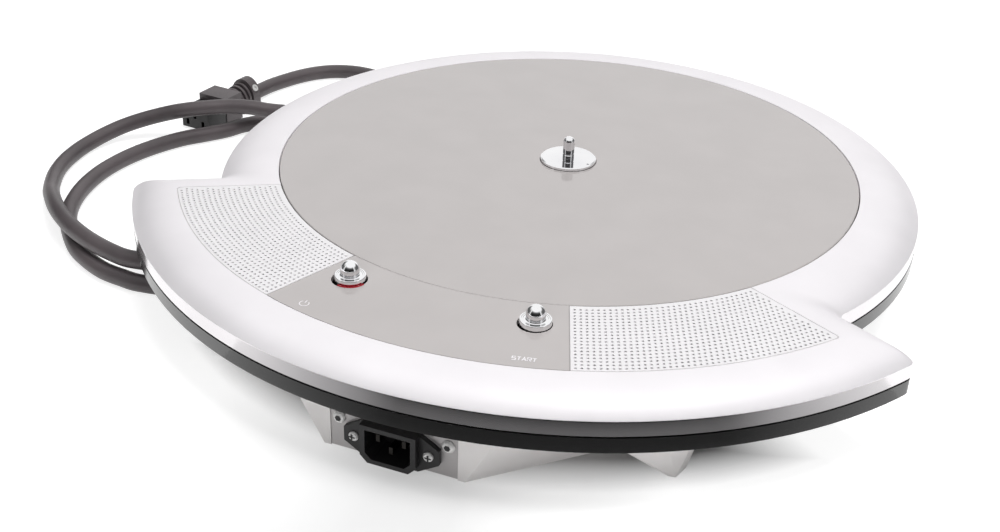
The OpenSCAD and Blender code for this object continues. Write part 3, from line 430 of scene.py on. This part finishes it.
inlet_black = finish("inlet_black", srgb(26, 25, 26), srgb(20, 19, 20), 0.42, 0.08, grain=1200, bump=0.15)
screw_metal = finish("screws", srgb(232, 231, 230), srgb(222, 221, 220), 0.4, 0.06, metal=0.35, grain=900)
# Painted shade: the inlet's contact blades are made dark for the shade deep inside the inlet.
contacts_painted_dark = finish("contacts", srgb(52, 50, 48), srgb(44, 42, 40), 0.3, 0.04, metal=1.0)
cord_grey = finish("lead_grey", srgb(88, 81, 83), srgb(76, 70, 72), 0.42, 0.06, grain=1400, bump=0.25)

SLOT_FINISH = {
    "shell_white": white,
    "shell_black": black,
    "plate_grey": grey_plate,
    "grille_white": grille_white,
    "polished": chrome,
    "zinc_steel": zinc,
    "spring_steel": spring_steel,
    "core_steel": core_steel,
    "light_red": red,
    "inner_plastic": inner_plastic,
    "former": former_plastic,
    "copper": copper,
    "board": board_green,
    "leads": lead_sheath,
    "base_grey": base_grey,
    "pads": rubber,
    "inlet_grey": inlet_grey,
    "inlet_black": inlet_black,
    "contacts": contacts_painted_dark,
    "lead_grey": cord_grey,
}


def dress_cad():
    """Every solid carried over takes the finish of its slot."""
    for part in frame["record"]["subparts"]:
        solid = nodes[part["node"]].data
        solid.materials.clear()
        solid.materials.append(SLOT_FINISH[part["material_slot"]])
    nodes["control_panel"].data.materials[0] = grey_panel
    for name in ("plate_screws", "inlet_screws", "connector_screw"):
        nodes[name].data.materials[0] = screw_metal


# Camera

def add_camera():
    """The camera stands where the photograph was taken, with its slight roll."""
    turn, down, roll = (math.radians(v) for v in (CAMERA_TURN, CAMERA_DOWN, CAMERA_ROLL))
    back = Vector((math.sin(turn) * math.cos(down), -math.cos(turn) * math.cos(down), math.sin(down)))
    right = Vector((math.cos(turn), math.sin(turn), 0))
    up = back.cross(right)
    across = right * math.cos(roll) + up * math.sin(roll)
    upward = up * math.cos(roll) - right * math.sin(roll)
    data = bpy.data.cameras.new("camera")
    data.sensor_fit = "HORIZONTAL"
    data.sensor_width = 36
    data.lens = LENS
    camera = add_object("camera", data)
    turned = Matrix((across, upward, back)).transposed().to_4x4()
    camera.matrix_world = Matrix.Translation(Vector(CAMERA_AT) * MM) @ turned
    bpy.context.scene.camera = camera


# The mains lead

def add_cord():
    """The lead, one smooth curve through its route, from the connector to the plug."""
    points = [place(*p) for p in CORD_ROUTE]
    curve = bpy.data.curves.new("mains_lead", "CURVE")
    curve.dimensions = "3D"
    curve.bevel_depth = CORD_D / 2 * MM
    curve.bevel_resolution = 6
    curve.resolution_u = 8
    curve.use_fill_caps = True
    curve.materials.append(cord_grey)
    spline = curve.splines.new("BEZIER")
    spline.bezier_points.add(len(points) - 1)
    for i, knot in enumerate(spline.bezier_points):
        before = points[max(i - 1, 0)]
        after = points[min(i + 1, len(points) - 1)]
        knot.handle_left_type = "FREE"
        knot.handle_right_type = "FREE"
        knot.co = points[i]
        knot.handle_left = points[i] - (after - before) / 6
        knot.handle_right = points[i] + (after - before) / 6
    lead = add_object("mains_lead", curve)
    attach(lead, "body")
    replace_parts(lead, "cord_run")


# The white shell

def edge_share(p):
    """How far inside the shell's edge a plan point lies, in roll widths: 0 at the edge, 1 on the flat."""
    r = p.length
    angle = abs(math.degrees(math.atan2(p.x, -p.y)))
    rim = min((RIM_R - r) / RIM_ROLL, 1)
    front = max(1 - (WING_R - r) / WING_ROLL, 0)
    half = WING_HALF + (RIGHT_EXTRA if p.x > 0 else 0)
    back = max(1 - r * math.sin(math.radians(half - angle)) / BACK_ROLL, 0)
    wing = 1 - (front ** TIP_POW + back ** TIP_POW) ** (1 / TIP_POW)
    soft = max(NOTCH_SOFT - abs(rim - wing), 0) / NOTCH_SOFT
    return max(rim, wing) + soft * soft * NOTCH_SOFT / 4


def shell_height(p):
    """Height of the shell's top over a plan point."""
    outward = max(1 - edge_share(p), 0)
    gentle = ROLL_GENTLE * outward ** ROLL_GENTLE_POW
    steep = (1 - ROLL_GENTLE) * outward ** ROLL_POW
    return Z_TOP - ROLL_H * (gentle + steep)


def far_edge(along, inside):
    """A point at that distance inside the crescent's straight back edge."""
    return along * polar(1, WING_HALF) + inside * polar(1, WING_HALF - 90)


def line_pairs():
    """Pairs of plan points, inside and outside the white surface, from the front's middle to the back."""
    inner_r = PANEL_R + SEAM / 2
    plate_r = PLATE_R + SEAM
    inside = GRILLE_EDGE - SEAM / 2
    core_r = inner_r - GRILLE_CORNER
    core_in = inside + GRILLE_CORNER
    core_along = math.sqrt(core_r ** 2 - core_in ** 2)
    core = far_edge(core_along, core_in)
    core_angle = WING_HALF - math.degrees(math.asin(core_in / core_r))
    tip_r = WING_R - TIP_R
    tip_along = math.sqrt(tip_r ** 2 - TIP_R ** 2)
    tip_angle = WING_HALF - math.degrees(math.asin(TIP_R / tip_r))
    tip = polar(tip_r, tip_angle)
    plate_along = math.sqrt(plate_r ** 2 - inside ** 2)
    plate_angle = WING_HALF - math.degrees(math.asin(inside / plate_r))
    notch_end = plate_angle + NOTCH_TURN

    pairs = []
    for t in steps(0, 1, FRONT_LINES):
        pairs.append((polar(inner_r, core_angle * t), polar(WING_R, tip_angle * t)))
    for t in steps(0, 1, TIP_LINES)[1:]:
        inner = core + GRILLE_CORNER * polar(1, core_angle + (CORNER_END - core_angle) * t)
        pairs.append((inner, tip + TIP_R * polar(1, tip_angle + (CORNER_END - tip_angle) * t)))
    for t in steps(0, 1, BACK_LINES)[1:]:
        along = core_along + (plate_along - core_along) * t
        outer = far_edge(tip_along + (RIM_R + NOTCH_REACH - tip_along) * t, 0)
        pairs.append((far_edge(along, inside), outer))
    for t in steps(0, 1, NOTCH_LINES)[1:]:
        outer = far_edge(RIM_R + NOTCH_REACH * (1 - t), -t * RIM_R * math.sin(math.radians(NOTCH_DROP)))
        pairs.append((polar(plate_r, plate_angle + NOTCH_TURN * t), outer))
    for t in steps(0, 1, RIM_LINES)[1:]:
        inner = polar(plate_r, notch_end + (180 - notch_end) * t)
        pairs.append((inner, polar(RIM_R, RIM_FROM + (180 - RIM_FROM) * t)))
    return pairs


def ring_pairs():
    """The pairs of the right half, and then their mirror images from the back to the front."""
    right = line_pairs()
    left = [(Vector((-a.x, a.y)), Vector((-b.x, b.y))) for a, b in reversed(right[1:-1])]
    return right + left


def edge_point(inner, outer):
    """Where the line from the inner point through the outer one leaves the shell."""
    low, high = 0.4, 1.6
    for _ in range(40):
        middle = (low + high) / 2
        if edge_share(inner + (outer - inner) * middle) > 0:
            low = middle
        else:
            high = middle
    return inner + (outer - inner) * low


def add_shell():
    """The white upper shell: a flat ring that rolls down to a crisp edge, with an upright band under it."""
    pairs = ring_pairs()
    z_band = Z_TOP - ROLL_H
    z_seam = z_band - BAND_H
    points = []
    for inner, outer in pairs:
        edge = edge_point(inner, outer)
        inward = (inner - edge).normalized()
        line = [(inner, Z_TOP - SHELL_DEEP), (inner, Z_TOP - SHELL_EASE)]
        for i in range(SHELL_STEPS):
            share = math.sin(math.pi / 2 * i / SHELL_STEPS)
            near = SHELL_NEAR * (edge - inner).normalized() * (1 - share)
            p = inner + near + (edge - inner) * share
            line.append((p, shell_height(p)))
        lip = edge + inward * SHELL_LIP
        line.append((lip, shell_height(lip)))
        line += [(edge, z_band - down) for down in BAND_TOP]
        line += [(edge, z_seam + up) for up in BAND_FOOT]
        line += [(edge + inward * inside, z_seam) for inside in BAND_UNDER]
        points += [place(p.x, p.y, z) for p, z in line]
    faces = strip_faces(len(pairs), len(points) // len(pairs), closed=True)
    shell = add_mesh("white_shell", points, faces, white, sharp=40)
    shell.data.materials.append(silver)
    for face in shell.data.polygons:
        upright = abs(face.normal.z) < 0.5
        face.material_index = 1 if upright and face.center.z < z_band * MM else 0
    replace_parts(shell, "top_shell")


def add_lower_skin():
    """The lower shell's glossy skin: a thin wall, the shadow line over it and a narrow underside."""
    pairs = ring_pairs()
    low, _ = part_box("bottom_shell")
    z_low = low.z / MM
    z_seam = Z_TOP - ROLL_H - BAND_H
    wall = [(inside, z_seam - down) for inside, down in SKIN_TOP]
    wall += [(inside, z_low + up) for inside, up in SKIN_FOOT]
    points = []
    for inner, outer in pairs:
        edge = edge_point(inner, outer)
        inward = (inner - edge).normalized()
        for inside, z in wall:
            p = edge + inward * inside
            points.append(place(p.x, p.y, z))
    faces = strip_faces(len(pairs), len(wall), closed=True)
    add_mesh("lower_skin", points, faces, black)


# The grilles

def grille_outline():
    """The right grille's plan outline: two arcs, a radial edge by the panel and a straight far edge."""
    outer_r = PANEL_R - SEAM / 2
    inner_r = PLATE_R + SEAM + GRILLE_GAP
    inside = GRILLE_EDGE + SEAM / 2
    core_r = outer_r - GRILLE_CORNER
    core_in = inside + GRILLE_CORNER
    core = far_edge(math.sqrt(core_r ** 2 - core_in ** 2), core_in)
    core_angle = WING_HALF - math.degrees(math.asin(core_in / core_r))
    end_angle = WING_HALF - math.degrees(math.asin(inside / inner_r))
    near = PANEL_HALF + math.degrees(SEAM / 2 / inner_r)
    outline = [polar(inner_r, a) for a in steps(end_angle, near, GRILLE_INNER_POINTS)]
    outline += [polar(outer_r, a) for a in steps(near, core_angle, 60)]
    outline += [core + GRILLE_CORNER * polar(1, a) for a in steps(core_angle, CORNER_END, 10)[1:]]
    return outline


def hole_centres():
    """Plan points of the right grille's holes: rows along arcs, at one pitch from the panel's edge."""
    centres = []
    for row in range(HOLE_ROWS):
        r = HOLE_FIRST_R + HOLE_ROW_STEP * row
        count = 0
        while True:
            angle = PANEL_HALF + math.degrees((HOLE_START + HOLE_PITCH * count) / r)
            inside = r * math.sin(math.radians(WING_HALF - angle)) - GRILLE_EDGE
            if inside < HOLE_MARGIN:
                break
            centres.append(polar(r, angle))
            count += 1
    return centres


def add_grille(name, node, side):
    """A perforated grille: real holes through a thin sheet, with a grey sheet of painted shade under it that
    shows through the holes.
    """
    outline = grille_outline()
    loops = [outline]
    for c in hole_centres():
        loops.append([c + HOLE_R * polar(1, 360 * i / HOLE_SIDES) for i in range(HOLE_SIDES)])
    plan = []
    edges = []
    loop_of = []
    for k, loop in enumerate(loops):
        first = len(plan)
        plan += loop
        loop_of += [k] * len(loop)
        edges += [(first + i, first + (i + 1) % len(loop)) for i in range(len(loop))]
    flat, _, triangles, origin, *_ = delaunay_2d_cdt(plan, edges, [], 1, 1e-6)
    owner = [loop_of[ids[0]] for ids in origin]
    sheet = [t for t in triangles if owner[t[0]] == 0 or len({owner[i] for i in t}) > 1]
    points = [place(side * p.x, p.y, Z_TOP) for p in flat]
    faces = [tuple(t) if side > 0 else tuple(reversed(t)) for t in sheet]
    for loop in loops:
        first = len(points)
        points += [place(side * p.x, p.y, Z_TOP) for p in loop]
        points += [place(side * p.x, p.y, Z_TOP - GRILLE_DEEP) for p in loop]
        n = len(loop)
        for i in range(n):
            j = (i + 1) % n
            faces.append((first + i, first + n + i, first + n + j, first + j))
    grille = add_mesh(name, points, faces, grille_white, smooth=False)
    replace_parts(grille, node)
    # The grey sheet under the holes is painted shade for the dark inside them.
    hole_shade = [place(side * p.x, p.y, Z_TOP - GRILLE_DEEP) for p in outline]
    whole = [tuple(range(len(hole_shade)))]
    add_mesh(name + "_hole_shade", hole_shade, whole, grille_shade, smooth=False)


# Turned pieces

def add_spindle():
    """The polished pin with its groove and domed top, and a ring of painted shadow round the flange."""
    _, pin_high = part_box("spindle_pin")
    flange_low, flange_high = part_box("spindle_flange")
    foot = flange_high.z / MM
    groove = foot + PIN_GROOVE_UP
    groove_r = PIN_R - PIN_GROOVE_DEEP
    shoulder = pin_high.z / MM - PIN_DOME
    pin = [(PIN_R, foot - 0.2), (PIN_R, groove - 0.6), (groove_r, groove - 0.2)]
    pin += [(groove_r, groove + 0.2), (PIN_R, groove + 0.6), (PIN_R, shoulder)]
    for angle in steps(6, 88, 14):
        a = math.radians(angle)
        pin.append((PIN_R * math.cos(a), shoulder + PIN_DOME * math.sin(a)))
    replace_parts(lathe("pin", pin, (0, 0), chrome, sides=64), "spindle_pin")
    # A dark flat ring on the plate, a hair outside the flange: painted shadow where the flange stands on the
    # plate.
    shade_r = (flange_high.x - flange_low.x) / 2 / MM + FLANGE_GAP
    circle = [polar(shade_r, angle) for angle in steps(-180, 180, 73)]
    add_strokes("flange_shade", [circle], FLANGE_SHADE, Z_TOP + FLANGE_SHADE_UP, seam_shade_dark)


def button_centre(node):
    """The plan point of a button's middle."""
    low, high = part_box(node)
    return Vector(((low.x + high.x) / 2 / MM + BUTTON_SHIFT, (low.y + high.y) / 2 / MM - MID_Y))


def add_button(name, node):
    """A polished button: a ring turned in fine steps, with a bullet-shaped dome standing in it."""
    low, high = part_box(node)
    ring_r = (high.x - low.x) / 2 / MM - RING_TRIM
    top = high.z / MM
    base = Z_TOP + RING_EASE
    ring_top = Z_TOP + RING_H
    profile = [(RING_IN, base), (ring_r - RING_EASE, base), (ring_r, base + RING_EASE)]
    profile.append((ring_r, ring_top - 0.5))
    profile += arc(ring_r - RING_ROUND, ring_top - RING_ROUND, RING_ROUND, 10, 90, 5)
    for down in (0, RING_STEP):
        profile.append((ring_r - 1 - down * 7, ring_top - down))
        profile.append((ring_r - 1.1 - down * 7, ring_top - down - RING_STEP))
    profile += [(DOME_R + 0.3, ring_top - 2 * RING_STEP), (DOME_R, ring_top - 0.1), (DOME_R, top - DOME_R)]
    profile += arc(0, top - DOME_R, DOME_R, 6, 88, 16)
    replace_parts(lathe(name, profile, button_centre(node), chrome, body=node), node)


def add_power_light():
    """The red light: a low curved strip round the power button, on the side that faces the user."""
    centre = button_centre("power_button")
    ring_low, ring_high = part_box("power_button")
    inner = (ring_high.x - ring_low.x) / 2 / MM - RING_TRIM + LIGHT_GAP
    outer = inner + LIGHT_WIDE
    low, high = Z_TOP - LIGHT_DOWN, Z_TOP + LIGHT_UP
    section = [(inner, low), (inner, high), (outer, high), (outer, low)]
    angles = steps(LIGHT_TURN - LIGHT_HALF, LIGHT_TURN + LIGHT_HALF, 28)
    points = []
    faces = [(0, 1, 2, 3)]
    for angle in angles:
        for r, z in section:
            at = centre + polar(r, angle)
            points.append(place(at.x, at.y, z))
    for i in range(len(angles) - 1):
        for k in range(4):
            first, after = i * 4 + k, i * 4 + (k + 1) % 4
            faces.append((first, first + 4, after + 4, after))
    last = (len(angles) - 1) * 4
    faces.append((last + 3, last + 2, last + 1, last))
    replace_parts(add_mesh("red_light", points, faces, red), "power_light")


# Small marks

def ribbon(line, width):
    """The two edges of a band along a chain of plan points."""
    edges = ([], [])
    for i, p in enumerate(line):
        before = line[max(i, 1)] - line[max(i, 1) - 1]
        after = line[min(i, len(line) - 2) + 1] - line[min(i, len(line) - 2)]
        ahead = (before.normalized() + after.normalized()).normalized()
        reach = width / 2 / max(ahead.dot(after.normalized()), 0.4)
        across = Vector((-ahead.y, ahead.x)) * reach
        edges[0].append(p - across)
        edges[1].append(p + across)
    return edges


def add_strokes(name, lines, width, z, material):
    """Flat bands along chains of plan points, each a hair above the one before."""
    points = []
    faces = []
    for k, line in enumerate(lines):
        first = len(points)
        count = len(line)
        for edge in ribbon(line, width):
            points += [place(p.x, p.y, z + STROKE_LIFT * k) for p in edge]
        for i in range(count - 1):
            faces.append((first + i, first + i + 1, first + count + i + 1, first + count + i))
    add_mesh(name, points, faces, material, smooth=False)


def add_seam_shades(name, side):
    """Painted shade in a grille's seams: flat strips, pale by the shell, grey by the panel and dark by the
    record plate.
    """
    inner_r = PLATE_R + SEAM
    outer_r = PANEL_R - SEAM / 2
    end_angle = WING_HALF - math.degrees(math.asin(GRILLE_EDGE / inner_r))
    outline = grille_outline()
    by_shell = [Vector((side * p.x, p.y)) for p in outline[GRILLE_INNER_POINTS:] + outline[:1]]
    by_panel = [polar(inner_r, side * PANEL_HALF), polar(outer_r, side * PANEL_HALF)]
    by_plate = [polar(PLATE_R + SEAM / 2, side * a) for a in steps(PANEL_HALF, end_angle, 40)]
    z = Z_TOP - STRIP_DOWN
    add_strokes(name + "_by_shell", [by_shell], 2 * SEAM + STRIP_LAP, z, seam_shade_pale)
    add_strokes(name + "_by_panel", [by_panel], SEAM + STRIP_LAP, Z_TOP - PANEL_STRIP_DOWN, grille_shade)
    add_strokes(name + "_by_plate", [by_plate], SEAM + PLATE_STRIP_LAP, z, seam_shade_dark)


def add_start_word():
    """The word START in front of the right button."""
    s = [[(3, 5), (0, 5), (0, 2.5), (3, 2.5), (3, 0), (0, 0)]]
    t = [[(0, 5), (3, 5)], [(1.5, 5), (1.5, 0)]]
    a = [[(0, 0), (1.5, 5), (3, 0)], [(0.7, 1.8), (2.3, 1.8)]]
    r = [[(0, 0), (0, 5), (3, 5), (3, 2.5), (0, 2.5)], [(1.2, 2.5), (3, 0)]]
    turn = math.radians(START_TURN)
    right = Vector((math.cos(turn), math.sin(turn))) * START_UNIT
    up = Vector((-math.sin(turn), math.cos(turn))) * START_UNIT
    lines = []
    for i, letter in enumerate((s, t, a, r, t)):
        start = Vector(START_AT) + right * START_PITCH * i
        lines += [[start + right * x + up * y for x, y in line] for line in letter]
    add_strokes("start_word", lines, START_STROKE, Z_TOP + MARK_UP, white)


def add_power_mark():
    """The usual on and off sign in front of the left button: an open ring with a bar."""
    at = Vector(POWER_AT)
    ring = [at + POWER_R * polar(1, angle) for angle in steps(-140, 140, 22)]
    bar = [at + Vector((0, POWER_R * 0.3)), at + Vector((0, POWER_R * 1.3))]
    add_strokes("power_mark", [ring, bar], POWER_STROKE, Z_TOP + MARK_UP, white)


def add_painted_recess(name, node, head_r, outline):
    """Painted shade for the driver recesses of a pair of screws that face the front: flat black shapes a hair
    before their heads.
    """
    low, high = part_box(node)
    y = low.y - RECESS_OUT * MM
    z = (low.z + high.z) / 2
    for side, x in (("left", low.x + head_r * MM), ("right", high.x - head_r * MM)):
        points = [Vector((x + p.x * MM, y, z + p.y * MM)) for p in outline]
        whole = [tuple(range(len(points)))]
        add_mesh(name + "_" + side, points, whole, inlet_black, smooth=False)


def add_painted_recesses():
    """Painted shade shaped as hexagon recesses for the plate's screws and as cross recesses for the inlet's
    screws.
    """
    hexagon = [polar(RECESS_R, 60 * i + 30) for i in range(6)]
    arm = [(CROSS_HALF, CROSS_HALF), (CROSS_HALF, RECESS_R), (-CROSS_HALF, RECESS_R)]
    cross = []
    for i in range(4):
        turn = Matrix.Rotation(math.pi / 2 * i, 2)
        cross += [turn @ Vector(p) for p in arm]
    add_painted_recess("socket", "plate_screws", SOCKET_HEAD_R, hexagon)
    add_painted_recess("cross", "inlet_screws", CROSS_HEAD_R, cross)


# Light and floor

def combine(tree, operation, first, second):
    """A math node's result, from a socket and a number or another socket."""
    node = tree.nodes.new("ShaderNodeMath")
    node.operation = operation
    tree.links.new(first, node.inputs[0])
    if isinstance(second, (int, float)):
        node.inputs[1].default_value = second
    else:
        tree.links.new(second, node.inputs[1])
    return node.outputs["Value"]


def seen_rays(tree):
    """1 for the rays that look at a surface and 0 for those that only carry light."""
    rays = tree.nodes.new("ShaderNodeLightPath")
    value = rays.outputs["Is Camera Ray"]
    for kind in ("Is Glossy Ray", "Is Transmission Ray"):
        value = combine(tree, "MAXIMUM", value, rays.outputs[kind])
    return value


def climb(tree, distance, edge, top):
    """A value that climbs from 0 to top between two distances."""
    node = tree.nodes.new("ShaderNodeMapRange")
    node.inputs["From Min"].default_value = edge[0] * MM
    node.inputs["From Max"].default_value = edge[1] * MM
    node.inputs["To Max"].default_value = top
    tree.links.new(distance, node.inputs["Value"])
    return node.outputs["Result"]


def sector_ramp(tree, sector, stops):
    """A share that follows the turn round the spindle: stops are (degrees from the pool's middle, share)."""
    tones = tree.nodes.new("ShaderNodeValToRGB")
    ramp = tones.color_ramp
    ends = (stops[0], stops[-1])
    for element, (turn, share) in zip(ramp.elements, ends):
        element.position = 0.5 + turn / 360
        element.color = grey(share)
    for turn, share in stops[1:-1]:
        ramp.elements.new(0.5 + turn / 360).color = grey(share)
    tree.links.new(sector.outputs["Fac"], tones.inputs["Fac"])
    return tones.outputs["Color"]


def floor_glow(tree, seen):
    """How strongly the floor's painted glow lifts it where it is looked at: by the turn round the spindle,
    and more far off.
    """
    where = tree.nodes.new("ShaderNodeTexCoord")
    turned = tree.nodes.new("ShaderNodeMapping")
    turned.vector_type = "TEXTURE"
    turned.inputs["Location"].default_value = (0, MID_Y * MM, 0)
    turned.inputs["Rotation"].default_value = (0, 0, math.radians(POOL_TURN - 90))
    tree.links.new(where.outputs["Object"], turned.inputs["Vector"])
    sector = tree.nodes.new("ShaderNodeTexGradient")
    sector.gradient_type = "RADIAL"
    tree.links.new(turned.outputs["Vector"], sector.inputs["Vector"])
    reach = tree.nodes.new("ShaderNodeVectorMath")
    reach.operation = "LENGTH"
    tree.links.new(turned.outputs["Vector"], reach.inputs[0])
    distance = reach.outputs["Value"]
    outside = climb(tree, distance, POOL_EDGE, 1)
    pool = combine(tree, "MULTIPLY", sector_ramp(tree, sector, POOL_GLOW), outside)
    share = combine(tree, "MAXIMUM", pool, sector_ramp(tree, sector, AWAY_GLOW))
    glow = combine(tree, "ADD", share, climb(tree, distance, FAR_EDGE, FAR_GLOW))
    return combine(tree, "MULTIPLY", combine(tree, "MULTIPLY", glow, FLOOR_GLOW), seen)


def add_floor():
    """A white floor with a painted glow where it is looked at, which lifts the object's shadow, least in
    front of the object, where the shadow is kept.
    """
    size = FLOOR_HALF
    corners = [(-size, -size, 0), (size, -size, 0), (size, size, 0), (-size, size, 0)]
    mesh = bpy.data.meshes.new("floor")
    mesh.from_pydata(corners, [], [(0, 1, 2, 3)])
    material = bpy.data.materials.new("floor_white")
    material.use_nodes = True
    tree = material.node_tree
    shader = tree.nodes["Principled BSDF"]
    shader.inputs["Roughness"].default_value = 0.9
    shader.inputs["Specular IOR Level"].default_value = 0.1
    seen = seen_rays(tree)
    tone = tree.nodes.new("ShaderNodeValToRGB")
    tone.color_ramp.elements[0].color = grey(FLOOR_SHADE)
    tone.color_ramp.elements[1].color = grey(FLOOR_SEEN)
    tree.links.new(seen, tone.inputs["Fac"])
    tree.links.new(tone.outputs["Color"], shader.inputs["Base Color"])
    shader.inputs["Emission Color"].default_value = grey(1)
    tree.links.new(floor_glow(tree, seen), shader.inputs["Emission Strength"])
    mesh.materials.append(material)
    floor = add_object("floor", mesh)


def trapezium(value, corners):
    """0 outside the outer two corners, 1 between the inner two, and straight slopes between."""
    first, full_first, full_last, last = corners
    rise = (value - first) / (full_first - first)
    fall = (last - value) / (last - full_last)
    return max(0, min(1, rise, fall))


def add_reflection_card(name, rows, sides):
    """A card that shows only in reflections as a painted dark reflection, darkest where both its darkness
    values are high.

    Each row is (radius, height, darkness) about the spindle, and sides are four angles from the front.
    """
    angles = steps(sides[0], sides[3], CARD_STEPS)
    points = []
    shades = []
    for angle in angles:
        for r, z, dark in rows:
            points.append(place(*polar(r, angle), z))
            shades.append(1 - CARD_DARK * dark * trapezium(angle, sides))
    mesh = bpy.data.meshes.new(name)
    faces = strip_faces(len(angles), len(rows), closed=False)
    mesh.from_pydata([tuple(p) for p in points], [], faces)
    layer = mesh.color_attributes.new("shade", "FLOAT_COLOR", "POINT")
    for i, shade in enumerate(shades):
        layer.data[i].color = grey(shade)
    material = bpy.data.materials.new(name)
    material.use_nodes = True
    tree = material.node_tree
    paint = tree.nodes.new("ShaderNodeAttribute")
    paint.attribute_name = "shade"
    glow = tree.nodes.new("ShaderNodeEmission")
    tree.links.new(paint.outputs["Color"], glow.inputs["Color"])
    tree.links.new(glow.outputs["Emission"], tree.nodes["Material Output"].inputs["Surface"])
    mesh.materials.append(material)
    card = add_object(name, mesh)
    card.visible_camera = False
    card.visible_diffuse = False
    card.visible_shadow = False
    card.visible_transmission = False


def add_reflection_cards():
    """Painted dark reflections: the floor before the object, the room behind the camera and two walls."""
    add_reflection_card("painted_floor_reflection", FLOOR_CARD, FLOOR_CARD_SIDES)
    add_reflection_card("painted_room_reflection", ROOM_CARD, ROOM_CARD_SIDES)
    add_reflection_card("painted_right_reflection", WALL_CARD, RIGHT_CARD_SIDES)
    add_reflection_card("painted_left_reflection", WALL_CARD, LEFT_CARD_SIDES)


def add_lamp(name, at, towards, size, power):
    """A large soft lamp."""
    data = bpy.data.lights.new(name, "AREA")
    data.shape = "RECTANGLE"
    data.size, data.size_y = size
    data.energy = power
    lamp = add_object(name, data)
    lamp.location = at
    lamp.visible_glossy = False
    lamp.rotation_euler = (Vector(towards) - Vector(at)).to_track_quat("-Z", "Y").to_euler()


def add_light():
    """Light that is strongest overhead, white walls for what is seen, a lamp above and a low one in front."""
    scene = bpy.context.scene
    scene.view_settings.view_transform = "Standard"
    world = bpy.data.worlds.new("studio")
    scene.world = world
    world.use_nodes = True
    tree = world.node_tree
    sky = tree.nodes["Background"]
    where = tree.nodes.new("ShaderNodeTexCoord")
    facing = tree.nodes.new("ShaderNodeVectorMath")
    facing.operation = "DOT_PRODUCT"
    facing.inputs[1].default_value = Vector(BRIGHT_SIDE).normalized()
    tree.links.new(where.outputs["Generated"], facing.inputs[0])
    tones = tree.nodes.new("ShaderNodeValToRGB")
    ramp = tones.color_ramp
    ramp.elements[0].position = SKY_FROM
    ramp.elements[0].color = grey(SKY_LOW)
    ramp.elements[1].position = 1
    ramp.elements[1].color = grey(SKY_HIGH)
    tree.links.new(facing.outputs["Value"], tones.inputs["Fac"])
    tree.links.new(tones.outputs["Color"], sky.inputs["Color"])
    walls = tree.nodes.new("ShaderNodeBackground")
    walls.inputs["Color"].default_value = grey(1)
    either = tree.nodes.new("ShaderNodeMixShader")
    tree.links.new(seen_rays(tree), either.inputs["Fac"])
    tree.links.new(sky.outputs["Background"], either.inputs[1])
    tree.links.new(walls.outputs["Background"], either.inputs[2])
    tree.links.new(either.outputs["Shader"], tree.nodes["World Output"].inputs["Surface"])
    add_lamp("key", KEY_AT, KEY_TOWARDS, KEY_SIZE, KEY_WATTS)
    add_lamp("low", LOW_AT, LOW_TOWARDS, LOW_SIZE, LOW_WATTS)


add_camera()
dress_cad()
add_cord()
add_shell()
add_lower_skin()
add_grille("grille_right", "right_grille", 1)
add_grille("grille_left", "left_grille", -1)
add_spindle()
add_button("button_power", "power_button")
add_button("button_start", "start_button")
add_power_light()
add_seam_shades("seam_shade_right", 1)
add_seam_shades("seam_shade_left", -1)
add_start_word()
add_power_mark()
add_painted_recesses()
add_floor()
add_reflection_cards()
add_light()
